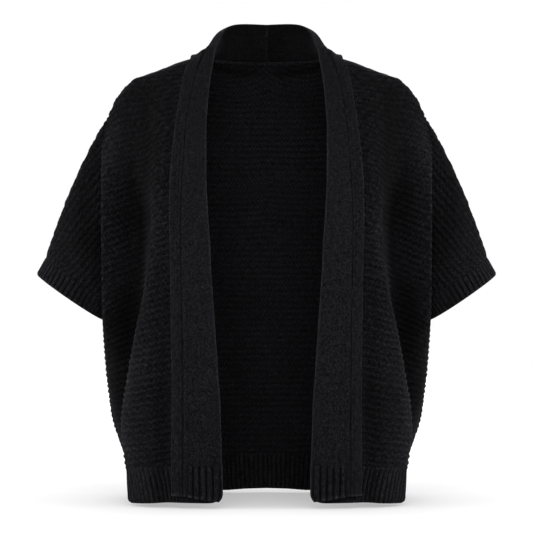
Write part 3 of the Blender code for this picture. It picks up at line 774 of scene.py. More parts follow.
def skin_faces(count, rows, tube):
    """Faces of a closed skin; each corner is a column, a row and a layer, 0 being outer."""
    spans = count if tube else count - 1
    i, j = [a.ravel() for a in np.meshgrid(np.arange(spans), np.arange(rows - 1),
                                           indexing="ij")]
    corners = ((i, j), (i + 1, j), (i + 1, j + 1), (i, j + 1))
    top, low = (np.stack([np.stack((a, b, np.full_like(a, layer)), -1)
                          for a, b in corners], 1) for layer in (0, 1))
    faces = [top, low[:, ::-1]]
    for path in rim_paths(spans, rows, tube):
        steps = np.array(path)
        a, b = steps[:-1], steps[1:]
        rim = np.zeros((len(a), 4, 3), int)
        rim[:, 0, :2], rim[:, 1, :2], rim[:, 2, :2], rim[:, 3, :2] = b, a, a, b
        rim[:, 2:, 2] = 1
        faces.append(rim)
    return np.concatenate(faces)


def closed_skin(name, mid, walls, uv, finish, facing, painted_light_and_tones, tube=False, normals=None):
    """Closed skin whose walls, an outer and an inner height, stand on a grid's mid-surface.

    uv holds the knit's own coordinates in metres, with one more row on a tube, which
    closes along the grid's first axis.  facing is -1 where the grid's own normal
    points to the inside of the garment.  tones are shares of the yarn's colour that
    the outer and the inner face show: painted shade in hollows and on inner faces,
    painted highlights on crests and edges, and the yarn's own uneven mottle.
    """
    count, rows = mid.shape[:2]
    if normals is None:
        normals = grid_normals(mid, tube) * facing
    rise, drop = walls
    layers = (mid + normals * rise[..., None], mid - normals * drop[..., None])
    points = np.concatenate([layer.reshape(-1, 3) for layer in layers])
    faces = skin_faces(count, rows, tube)
    if facing < 0:
        faces = faces[:, ::-1]
    index = faces[..., 2] * count * rows + (faces[..., 0] % count) * rows + faces[..., 1]
    mesh = bpy.data.meshes.new(name)
    mesh.from_pydata(points.tolist(), [], index.tolist())
    layer = mesh.uv_layers.new(name="knit")
    corner_uv = uv[faces[..., 0], faces[..., 1]]
    layer.data.foreach_set("uv", corner_uv.reshape(-1).astype(np.float32))
    painted_light_and_tone = mesh.attributes.new("painted_light_and_tone", "FLOAT", "POINT")
    shown = np.concatenate([np.broadcast_to(t, (count, rows)).ravel() for t in painted_light_and_tones])
    painted_light_and_tone.data.foreach_set("value", shown.astype(np.float32))
    mesh.materials.append(finish)
    mesh.shade_smooth()
    return linked(name, mesh)


def knit_map(u, v):
    """The knit's own coordinates of a grid, from those across and those along it."""
    return np.stack(np.broadcast_arrays(u, v), -1)


def declare(piece, nodes):
    """Hangs a piece of cloth on the root and hides the solids that it stands for."""
    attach(piece, "root")
    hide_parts(*nodes)


# ---------------------------------------------------------------------- node trees
class Nodes:
    """Adds nodes to a tree and joins them."""

    def __init__(self, tree):
        self.tree = tree

    def node(self, kind, inputs=(), **settings):
        """A new node, with sockets or plain values given to its inputs."""
        node = self.tree.nodes.new(kind)
        for key, value in settings.items():
            setattr(node, key, value)
        for socket, value in dict(inputs).items():
            self.join(node.inputs[socket], value)
        return node

    def add(self, kind, inputs=(), output=0, **settings):
        """One output, the first unless another is asked for, of a new node."""
        return self.node(kind, inputs, **settings).outputs[output]

    def join(self, socket, value):
        if isinstance(value, bpy.types.NodeSocket):
            self.tree.links.new(value, socket)
        else:
            socket.default_value = value

    def math(self, operation, *values):
        return self.add("ShaderNodeMath", enumerate(values), operation=operation)

    def times(self, product, *others):
        for other in others:
            product = self.math("MULTIPLY", product, other)
        return product

    def plus(self, total, *others):
        for other in others:
            total = self.math("ADD", total, other)
        return total

    def ramp(self, value, low, high, to_low=0.0, to_high=1.0):
        """A value from low to high, brought evenly between two others and held there."""
        return self.add("ShaderNodeMapRange", {"Value": value, "From Min": low, "From Max": high,
                                               "To Min": to_low, "To Max": to_high})


# ---------------------------------------------------------------------- materials
class Shader(Nodes):
    """A new material's nodes."""

    def __init__(self, name):
        self.material = bpy.data.materials.new(name)
        self.material.use_nodes = True
        super().__init__(self.material.node_tree)
        self.surface = self.tree.nodes["Principled BSDF"]

    def place(self):
        return self.add("ShaderNodeTexCoord", output="Object")

    def noise(self, vector, scale, detail=2.0, roughness=0.5):
        return self.add("ShaderNodeTexNoise", {"Vector": vector, "Scale": scale,
                                               "Detail": detail, "Roughness": roughness})

    def stray(self, place, scale, reach):
        """A soft wandering by up to about reach, in the waves of a noise of this scale."""
        return self.ramp(self.noise(place, scale), 0.3, 0.7, -reach, reach)

    def bell(self, value, centre, half_width):
        """1 at the centre, falling off softly to both sides."""
        off = self.times(self.math("SUBTRACT", value, centre), 1 / half_width)
        return self.math("EXPONENT", self.times(off, off, -1.0))


def knit_coordinates(shader):
    """The knit's own two coordinates, and the object's, all in metres."""
    uv = shader.add("ShaderNodeUVMap", uv_map="knit")
    split = shader.node("ShaderNodeSeparateXYZ", {"Vector": uv}).outputs
    return split["X"], split["Y"], shader.place()


def finish_yarn(shader, colour, height, place, sheen, depth, deep, with_painted_light=True, grain=1.0,
                nap=0.0):
    """Colour, fibres, sheen and bump of yarn, from the height of its stitches.

    deep is the share of its colour in the hollows of its stitches, a painted shade
    against painted light on the loops, and grain the contrast of its fibres; nap is a
    painted highlight that lightens the fabric where it turns away, and toned lays on
    the mesh's painted light and shade.
    """
    fibres = shader.noise(place, 620.0, 3.0, 0.65)
    specks = shader.noise(place, 310.0, 2.0, 0.6)
    clouds = shader.noise(place, 14.0, 2.0, 0.5)
    shares = [shader.ramp(specks, 0.30, 0.72, 1.1 - 0.8 * grain, 1.1 + 0.8 * grain),
              shader.ramp(fibres, 0.3, 0.7, 1.02 - 0.5 * grain, 1.02 + 0.5 * grain)]
    # A painted highlight where the surface turns away from the view.
    if nap:
        turned = shader.add("ShaderNodeLayerWeight", {"Blend": 0.5}, "Facing")
        shares.append(shader.ramp(turned, 0.62, 1.0, 1.0, 1.0 + nap))
    # Random clouds, then painted shade in the stitches' hollows and painted light on their
    # loops.
    shares += [shader.ramp(clouds, 0.3, 0.7, 0.92, 1.08),
               shader.ramp(height, 0.0, 1.0, deep, 1.18)]
    # The mesh's painted light and shade, with a little uneven mottle, scales the colour.
    if with_painted_light:
        shares.append(shader.add("ShaderNodeAttribute", output="Fac", attribute_name="painted_light_and_tone"))
    tint = shader.add("ShaderNodeVectorMath", {0: tuple(colour), "Scale": shader.times(*shares)},
                      operation="SCALE")
    relief = shader.plus(height, shader.times(fibres, 0.35), shader.times(specks, 0.25))
    bump = shader.add("ShaderNodeBump", {"Height": relief, "Strength": 0.85, "Distance": depth})
    for socket, value in (("Base Color", tint), ("Normal", bump), ("Roughness", 0.88),
                          ("Specular IOR Level", 0.04), ("Sheen Weight", sheen),
                          ("Sheen Roughness", 0.25), ("Sheen Tint", (0.92, 0.93, 1.0, 1.0))):
        shader.join(shader.surface.inputs[socket], value)


def garter_material(name, knit, colour, grain=1.0):
    """Ridged knit: rows of interlocked loops; the mesh carries the ridges."""
    shader = Shader(name)
    u, v, place = knit_coordinates(shader)
    across = shader.plus(shader.times(u, 1 / knit.stitch_width), shader.stray(place, 70.0, 0.20))
    row = shader.plus(shader.times(v, 1 / knit.ridge_pitch), shader.stray(place, 110.0, 0.06))
    off = shader.math("SUBTRACT", shader.math("FRACT", row), 0.5)
    angle = shader.times(across, 2 * math.pi)
    share = shader.plus(shader.times(shader.math("COSINE", angle), 0.5), 0.5)
    upper = shader.times(share, shader.bell(off, 0.13, 0.16))
    lower = shader.times(shader.math("SUBTRACT", 1.0, share), shader.bell(off, -0.13, 0.16))
    legs = shader.math("SINE", shader.plus(angle, shader.times(off, 5.0)))
    height = shader.plus(shader.times(shader.plus(upper, lower), 0.85),
                         shader.times(shader.math("ABSOLUTE", legs), 0.15))
    finish_yarn(shader, colour, height, place, sheen=0.02, depth=1.0 * MM, deep=0.46,
                grain=grain, nap=1.3)


def jersey_material(name, knit, colour, course, **yarn):
    """Knit stitches: columns of V shapes, as on the band and on the raised ribs."""
    shader = Shader(name)
    u, v, place = knit_coordinates(shader)
    across = shader.plus(shader.times(u, 1 / knit.wale_width), shader.stray(place, 60.0, 0.12))
    off = shader.math("ABSOLUTE", shader.math("SUBTRACT", shader.math("FRACT", across), 0.5))
    leg = shader.math("ABSOLUTE", shader.math("SINE", shader.times(off, 2 * math.pi)))
    row = shader.plus(shader.times(v, 1 / course), shader.times(off, 1.3))
    beat = shader.math("SINE", shader.times(shader.math("FRACT", row), math.pi))
    height = shader.times(leg, shader.plus(shader.times(beat, 0.45), 0.55))
    finish_yarn(shader, colour, height, place, **yarn)


def thread_material(name, colour):
    """The linking yarn of the seams, with a fine twist."""
    shader = Shader(name)
    place = shader.place()
    twist = shader.add("ShaderNodeTexWave", {"Vector": place, "Scale": 420.0, "Distortion": 2.0},
                       "Fac", bands_direction="DIAGONAL")
    finish_yarn(shader, colour, twist, place, sheen=0.03, depth=0.2 * MM, deep=0.7, with_painted_light=False)


def yarn_finish(name):
    """One of the garment's finishes; all are made together, once."""
    made = bpy.data.materials
    if name not in made:
        scene = bpy.context.scene
        knit, yarn = scene.cardigan_knit, scene.cardigan_yarn
        garter_material("garter_yarn", knit, yarn.ridged)
        garter_material("garter_yarn_back", knit, yarn.ridged, grain=0.78)
        jersey_material("ribbed_yarn", knit, yarn.rib, 3.4 * MM, depth=0.8 * MM, sheen=0.02,
                        deep=0.5, nap=1.5)
        jersey_material("jersey_yarn", knit, yarn.band, 2.9 * MM, depth=0.45 * MM, sheen=0.03,
                        deep=0.68, grain=0.92, nap=0.6)
        thread_material("linking_yarn", yarn.thread)
    return made[name]


# ----------------------------------------------------------------- geometry nodes
STITCH_SIZES = {"Spacing": 4.6 * MM, "Length": 5.4 * MM, "Width": 2.3 * MM,
                "Yarn radius": 0.45 * MM, "Slant": 0.0, "Unevenness": 0.12}
STITCH_SEED = 7


def stitch_inputs(tree):
    """Gives a new tree its named inputs, with defaults, and its geometry in and out."""
    rows = [("Geometry", "Geometry", None)]
    rows += [(name, "Float", size) for name, size in STITCH_SIZES.items()]
    rows += [("Seed", "Int", STITCH_SEED), ("Material", "Material", None)]
    for name, kind, default in rows:
        socket = tree.interface.new_socket(name, in_out="INPUT", socket_type="NodeSocket" + kind)
        if default is not None:
            socket.default_value = default
    tree.interface.new_socket("Geometry", in_out="OUTPUT", socket_type="NodeSocketGeometry")


def stitch_tree():
    """Loops of yarn laid one after another along a path of edges.

    The path's points carry the attribute "out", the way that the stitches face.
    """
    made = bpy.data.node_groups.get("laid stitches")
    if made:
        return made
    geo = Nodes(bpy.data.node_groups.new("laid stitches", "GeometryNodeTree"))
    stitch_inputs(geo.tree)
    given = geo.node("NodeGroupInput").outputs
    spacing, length, width, radius, slant, uneven = (given[name] for name in STITCH_SIZES)

    def vector(x, y, z):
        return geo.add("ShaderNodeCombineXYZ", {"X": x, "Y": y, "Z": z})

    def random_number(seed, low, high):
        return geo.add("FunctionNodeRandomValue", {2: low, 3: high, "Seed": seed}, 1,
                       data_type="FLOAT")

    # one link of yarn: a flattened ring
    ring = geo.add("GeometryNodeCurvePrimitiveCircle", {"Resolution": 10, "Radius": 0.5})
    ring = geo.add("GeometryNodeTransform", {"Geometry": ring,
                                             "Scale": vector(length, width, 1.0)})
    yarn = geo.add("GeometryNodeCurvePrimitiveCircle", {"Resolution": 5, "Radius": radius})
    link = geo.add("GeometryNodeCurveToMesh", {"Curve": ring, "Profile Curve": yarn})

    # the path, and how each link is turned and sized on it
    path = geo.add("GeometryNodeMeshToCurve", {"Mesh": given["Geometry"]})
    path = geo.add("GeometryNodeResampleCurve", {"Curve": path, "Length": spacing},
                   mode="LENGTH")
    tangent = geo.add("GeometryNodeInputTangent")
    out = geo.add("GeometryNodeInputNamedAttribute", {"Name": "out"}, "Attribute",
                  data_type="FLOAT_VECTOR")
    along = geo.add("FunctionNodeAlignRotationToVector", {"Vector": tangent}, axis="X")
    facing = geo.add("FunctionNodeAlignRotationToVector", {"Rotation": along, "Vector": out},
                     axis="Z", pivot_axis="X")
    high, low = geo.times(uneven, 1.0), geo.times(uneven, -1.0)
    turn = geo.plus(slant, random_number(given["Seed"], low, high))
    spin = geo.add("FunctionNodeRotateRotation",
                   {"Rotation": facing, "Rotate By": vector(0.0, 0.0, turn)},
                   rotation_space="LOCAL")
    size = random_number(geo.plus(given["Seed"], 1.0), geo.plus(low, 1.0), geo.plus(high, 1.0))
    laid = geo.add("GeometryNodeInstanceOnPoints",
                   {"Points": path, "Instance": link, "Rotation": spin, "Scale": size})
    laid = geo.add("GeometryNodeRealizeInstances", {"Geometry": laid})
    laid = geo.add("GeometryNodeSetShadeSmooth", {"Geometry": laid})
    laid = geo.add("GeometryNodeSetMaterial", {"Geometry": laid, "Material": given["Material"]})
    geo.node("NodeGroupOutput", {"Geometry": laid})
    return geo.tree


def path_object(name, spots, outs):
    """An object of bare edges through these points, with the ways that they face."""
    edges = [(k, k + 1) for k in range(len(spots) - 1)]
    mesh = bpy.data.meshes.new(name)
    mesh.from_pydata(spots.tolist(), edges, [])
    out = mesh.attributes.new("out", "FLOAT_VECTOR", "POINT")
    out.data.foreach_set("vector", outs.reshape(-1).astype(np.float32))
    return linked(name, mesh)


def grown(carrier, tree, values, name):
    """Runs a tree on an object and returns its result as a plain mesh object."""
    modifier = carrier.modifiers.new("grow", "NODES")
    modifier.node_group = tree
    sockets = {item.name: item.identifier for item in tree.interface.items_tree
               if item.in_out == "INPUT"}
    for key, value in values.items():
        modifier[sockets[key]] = value
    shown = carrier.evaluated_get(bpy.context.evaluated_depsgraph_get())
    mesh = bpy.data.meshes.new_from_object(shown)
    bpy.data.objects.remove(carrier, do_unlink=True)
    mesh.name = name
    if not mesh.polygons:
        raise RuntimeError(f"{name} came out empty")
    return linked(name, mesh)


# ------------------------------------------------------------------------- panels
FRONT_COLUMNS = 99                # half a stitch apart
BACK_COLUMNS = 67                 # of half the back, a stitch apart
FRONT_ROWS, BACK_ROWS = (208, 208), (170, 170)        # below and above the cuff's foot
LOWER_LENGTH = 0.562 / 2          # of a panel, along the fabric, up to the cuff's foot
SMOOTHING = 3                     # degree across the panel of the ridges' upper lengths
PANEL_RIM = 1.4 * MM
ROW_WAVER = 0.5 * MM              # of the ridges, up and down
LOOP_UNEVEN = 0.20                # of the ridges' height
PULLED_LEAST, PULLED_MORE = 0.60, 0.36      # of their height, all over and by patches
MOTTLE = 0.30                     # of the yarn's colour, where the ridges are pulled flat


def panel_shares(rows):
    return np.concatenate((np.linspace(0, CUFF_SHARE, rows[0], endpoint=False),
                           np.linspace(CUFF_SHARE, 1, rows[1])))


def ridge_coordinate(points, across, shares):
    """How far up the fabric each point is, in metres: what the ridges are counted by.

    Below the cuff's foot every ridge runs from the front edge to the side.  Above it
    their spacing is kept, so that the upper ones run out at the seam over the arm.
    """
    split = int(np.searchsorted(shares, CUFF_SHARE))
    low = LOWER_LENGTH * shares[:split] / CUFF_SHARE
    lengths = distances(points[:, split:], 1)
    fit = np.polynomial.polynomial.polyfit(across, lengths, SMOOTHING)
    even = np.polynomial.polynomial.polyval(across, fit).T
    upper = LOWER_LENGTH + np.maximum.accumulate(even - even[:, :1], axis=1)
    return np.concatenate((np.tile(low, (len(across), 1)), upper), axis=1)


def knitted_walls(u, v, knit, seed, beads, pulled):
    """Heights of the outer and the inner face over the mid-wall, in metres.

    pulled, 0 to 1, is how far the fabric's weight has drawn its ridges flat.
    """
    full = 1 + LOOP_UNEVEN * unevenness(u, v, seed + 1, 0.010, 0.05)
    patches = 0.5 + 0.5 * unevenness(u, v, seed + 4, 0.02, 0.07)
    flat = pulled * (PULLED_LEAST + PULLED_MORE * patches)
    v = v + ROW_WAVER * unevenness(u, v, seed, 0.06, 0.20)
    outer = garter(u, v, knit, beads, seed + 2) * full * (1 - flat)
    inner = garter(u + knit.stitch_width / 2, v + knit.ridge_pitch / 2, knit, beads, seed + 3)
    half = PANEL_WALL / 2 - 0.5 * MM - 0.4 * knit.ridge_height
    return [half + knit.ridge_height * height for height in (outer, inner)]


def front_ridges(u, v, shares):
    """The front's ridges where they turn, and how far they are pulled flat."""
    v = v * FRONT_STRETCH
    for _, places, heights, rise in RIDGE_TURNS:
        v = v + rise * MM * patch(u, shares, places, heights)
    pulls = [share * patch(u, shares, places, heights)
             for _, places, heights, share in FRONT_PULLS]
    return v, np.maximum(*pulls)


def panel_maker(across, shares, points, knit, is_front):
    """Readies a front or the whole back; returns what makes its skin, by name and side."""
    facing, width = (1, FRONT_PLACES[-1]) if is_front else (-1, BACK_PLACES[-1])
    creases, painted_light = (FRONT_CREASES, FRONT_PAINTED_LIGHT) if is_front else (BACK_CREASES, BACK_PAINTED_SHADE)
    seed = SEEDS["front" if is_front else "back"]
    u = across * width * MM
    places = np.abs(u)[:, None]
    relief = strokes(creases, places, shares[None], bent=0.10)
    points = points + grid_normals(points) * facing * MM * relief[..., None]
    # Painted shade in the hollows and painted highlights on the crests and along the seams.
    painted_light_and_tone = 1 + strokes(painted_light, places, shares[None], fade=0.5)
    v = ridge_coordinate(points, np.abs(across), shares)
    wide, tall = distances(points, 0), distances(points, 1)
    rim = np.minimum(wide[-1] - wide, tall[:, -1:] - tall)
    if is_front:
        v, pulled = front_ridges(u, v, shares)
    else:
        v = v * (1 - (1 - FRONT_STRETCH) * trapezoid(places / MM, BACK_SIDES))
        pulled = BACK_PULL
        rim = np.minimum(rim, wide)
    mottled = 1 + MOTTLE * pulled * unevenness(u[:, None], v, seed + 7, 0.005, 0.014)
    # The inside of a front is painted in shade and the inside of the back painted lighter; the
    # mottle is random.
    painted_light_and_tones = (painted_light_and_tone * mottled, 0.9) if is_front else (mottled, 1.12 * painted_light_and_tone)
    taper = edge_taper(rim, PANEL_RIM)
    walls = [wall * taper for wall in knitted_walls(u[:, None], v, knit, seed, is_front, pulled)]
    normals = grid_normals(points) * facing
    yarn = yarn_finish("garter_yarn" if is_front else "garter_yarn_back")
    return lambda name, side: closed_skin(
        name, mirrored(points, side), walls, knit_map(u[:, None], v), yarn,
        facing=facing * side, normals=mirrored(normals, side), painted_light_and_tones=painted_light_and_tones)


class OBJECT_OT_cardigan_panels(bpy.types.Operator):
    """Builds the back and the two fronts in ridged knit"""
    bl_idname = "object.cardigan_panels"
    bl_label = "Panels"

    def execute(self, context):
        knit = context.scene.cardigan_knit
        across, shares = np.linspace(0, 1, FRONT_COLUMNS), panel_shares(FRONT_ROWS)
        make = panel_maker(across, shares, front(across, shares), knit, is_front=True)
        for word, side in SIDES:
            declare(make(f"front_knit_{word}", side), (f"front_panel_{word}",))

        half, shares = np.linspace(0, 1, BACK_COLUMNS), panel_shares(BACK_ROWS)
        across = np.concatenate((-half[:0:-1], half))
        make = panel_maker(across, shares, both_halves(back(half, shares)), knit,
                           is_front=False)
        declare(make("back_knit", LEFT), ("back_panel",))
        return {"FINISHED"}


# --------------------------------------------------------------------------- ribs
HEM_STEPS, CUFF_STEPS = 15, 11
FRONT_HEM, HALF_BACK_HEM = 0.205, 0.245          # lengths that the columns are counted by
CUFF_RIBS = 48
CUFF_RADIUS = 0.06                # about that of a cuff
CUFF_SEAT = 1.2 * MM              # how far a cuff starts inside its sleeve's edge
RIB_STRAY = 0.25 * MM
RIB_RIM = 2.0 * MM
HEM_DROOP = ((0, 30, 60, 85, 175), (2.4, 2.9, 4.4, 4.6, 0))    # mm of the back's, by mm
# Painted shade on the front hem beside the band: how many millimetres, and how dark.
SHADED_BY_BAND, PAINTED_BAND_SHADE = 34, 0.68       # mm of the front's, beside the band, and how dark


class OBJECT_OT_cardigan_ribs(bpy.types.Operator):
    """Builds the hem ribs and the cuffs"""
    bl_idname = "object.cardigan_ribs"
    bl_label = "Ribs"

    samples: IntProperty(name="Samples", description="Mesh columns in one rib and hollow",
                         default=12, min=6, max=24)

    def hem(self, name, top, across, facing, lean, knit, shade=1.0, longer=0.0):
        """A hem rib under a panel's lowest row; lean shears its ribs towards the centre."""
        steps = np.linspace(0, 1, HEM_STEPS) ** 0.9
        grid = below_panel(top, across, steps, longer)
        u = distances(grid[:, :1], 0)
        depth = (steps * HEM_DEPTH)[None]
        position = u + lean * depth
        uneven = unevenness(u, depth, SEEDS["hem"], 0.02, 0.09)
        faces = both_ribs(position + RIB_STRAY * uneven, knit.hem_rib_pitch)
        start = climb(depth, 1.5 * MM, 6.5 * MM)
        below = depth[:, -1:] - depth
        roll = edge_taper(below, RIB_RIM) * edge_taper(np.minimum(u, u[-1] - u), 1.5 * MM)
        # Painted shade in the ribs' hollows and painted light on their crests, a painted
        # highlight on the lower edge and painted shade beside the band.
        outer, inner = [1 - start + start * rib_painted_light(face) for face in faces]
        return closed_skin(name, grid, [wall * roll for wall in grown_walls(faces, start, knit)],
                           knit_map(position, -depth), yarn_finish("ribbed_yarn"), facing=facing,
                           painted_light_and_tones=((outer + 0.4 * edge_painted_highlight(below)) * (1 - (1 - shade) * start),
                                  inner))

    def hems(self, knit):
        """The three hem ribs: one under each front and one under the back."""
        lean, bottom = math.tan(knit.rib_lean), np.array((0.0,))
        across = np.linspace(0, 1, int(FRONT_HEM / knit.hem_rib_pitch * self.samples))
        top = front(across, bottom)[:, 0]
        lit = climb(across * FRONT_PLACES[-1], 0, SHADED_BY_BAND)
        shade = PAINTED_BAND_SHADE + (1 - PAINTED_BAND_SHADE) * lit
        for word, side in SIDES:
            piece = self.hem(f"hem_rib_front_skin_{word}", mirrored(top, side), across, -side,
                             lean, knit, shade[:, None])
            declare(piece, (f"hem_rib_front_{word}",))

        half = np.linspace(0, 1, int(HALF_BACK_HEM / knit.hem_rib_pitch * self.samples))
        top = both_halves(back(half, bottom)[:, 0])
        across = np.concatenate((-half[:0:-1], half))
        droop = MM * np.interp(np.abs(top[:, 0]) / MM, *HEM_DROOP)
        piece = self.hem("hem_rib_back_skin", top, np.abs(across), 1,
                         lean * np.sin(across * math.pi / 2)[:, None], knit, longer=droop)
        declare(piece, ("hem_rib_back",))

    def cuffs(self, knit):
        """A ribbed tube round the end of each sleeve."""
        angles = np.linspace(0, 2 * np.pi, CUFF_RIBS * self.samples, endpoint=False)
        start, end = [cuff_ring(ellipse, angles, -1) for ellipse in (CUFF_START, CUFF_EDGE)]
        start = start + CUFF_SEAT * unit(start.mean(0) - start)
        steps = np.linspace(0, 1, CUFF_STEPS)[None, :, None]
        grid = start[:, None] + (end - start)[:, None] * steps
        u = distances(np.concatenate((start, start[:1]))[:, None], 0)
        u = u / u[-1] * CUFF_RIBS * knit.cuff_rib_pitch
        deep = distances(grid, 1)
        turned = [wave(angles)[:, None] * CUFF_RADIUS for wave in (np.sin, np.cos)]
        uneven = unevenness(turned[0], turned[1] + deep, SEEDS["cuff"], 0.02, 0.09)
        faces = both_ribs(u[:-1] + RIB_STRAY * uneven, knit.cuff_rib_pitch)
        grow = climb(deep, 0, 3 * MM)
        below = deep[:, -1:] - deep
        walls = [wall * edge_taper(below, RIB_RIM) for wall in grown_walls(faces, grow, knit)]
        # Painted shade in the ribs' hollows and light on their crests, a painted highlight on
        # the edge, a little painted shade on the outside and more inside.
        outer, inner = [rib_painted_light(face) for face in faces]
        painted_light_and_tones = (0.9 * (1 - grow + grow * outer + 0.5 * edge_painted_highlight(below)), 0.6 * inner)
        for word, side in SIDES:
            piece = closed_skin(f"cuff_rib_skin_{word}", mirrored(grid, side), walls,
                                knit_map(u, np.concatenate((deep, deep[:1]))),
                                yarn_finish("ribbed_yarn"), facing=-side, tube=True,
                                painted_light_and_tones=painted_light_and_tones)
            declare(piece, (f"cuff_rib_{word}",))

    def execute(self, context):
        self.hems(context.scene.cardigan_knit)
        self.cuffs(context.scene.cardigan_knit)
        return {"FINISHED"}


# -------------------------------------------------------------------------- bands
BAND_STATION_STEP = 3.0 * MM
BAND_ACROSS_STEP = 1.7 * MM
LOWER_EDGE_ROWS = np.array((0.7, 1.4, 2.2)) * MM
FOLD_COLUMNS, OUTER_COLUMNS = 26, 56
END_LIFT = (0.0, 0.16, 0.95)      # shares of the lower end's rise: crown, fold's end, joint
BAND_RIM = 2.0 * MM
BAND_SOFTNESS = 0.30 * MM
LINING_END = -1.5 * MM            # from the fold's crown
# Where the painted highlight on the strip's rim is brightest, and how far it reaches:
CHEST_STATION, CHEST_REACH = 0.41, 0.08      # metres up the strip where its rim is lightest


def band_stations(length):
    """Rows up the band, closer together at its lower edge."""
    return np.sort(np.append(spaced(length, BAND_STATION_STEP), LOWER_EDGE_ROWS))


def band_painted_light_and_mottle(u, to_joint, outside, stations, shoulder):
    """Share of the yarn's colour on the folded band: its lining, fold and outer layer.

    It is painted light and shade, with a little uneven mottle.
    """
    near_top = climb(stations, shoulder - 40 * MM, shoulder + 20 * MM)
    # The lining is painted in shade, darker at the collar and beside its fold there, with
    # painted light at the centre back.
    lining = 0.58 - 0.27 * near_top
    lining = lining * (1 + 0.25 * bell(stations[0, -1] - stations - 1.0 * MM, 2.4 * MM))
    lining = lining * (1 - 0.45 * near_top * bell(u + 4 * MM, 12 * MM))
    # The outer layer: a painted highlight on the fold's rim, painted shade at the joint and in
    # the lower front, a painted highlight on the lower edge and painted light on the collar.
    outer = 0.82 + 0.62 * bell(u - 0.6 * MM, 1.5 * MM)                  # rim of the fold
    outer = outer - 0.14 * bell(to_joint, 1.6 * MM) + columns(to_joint)
    outer = outer - 0.12 * climb(stations, 280 * MM, 0)                 # in the lower front
    outer = outer + 1.5 * edge_painted_highlight(stations / 1.5) * outside ** 0.3    # lower edge
    outer = outer + 0.2 * climb(stations, shoulder, shoulder + 25 * MM)     # collar
    painted_light_and_tone = np.where(u < LINING_END, lining, outer)
    return painted_light_and_tone * (1 + 0.06 * unevenness(u, stations, SEEDS["band's shade"], 0.006, 0.016))


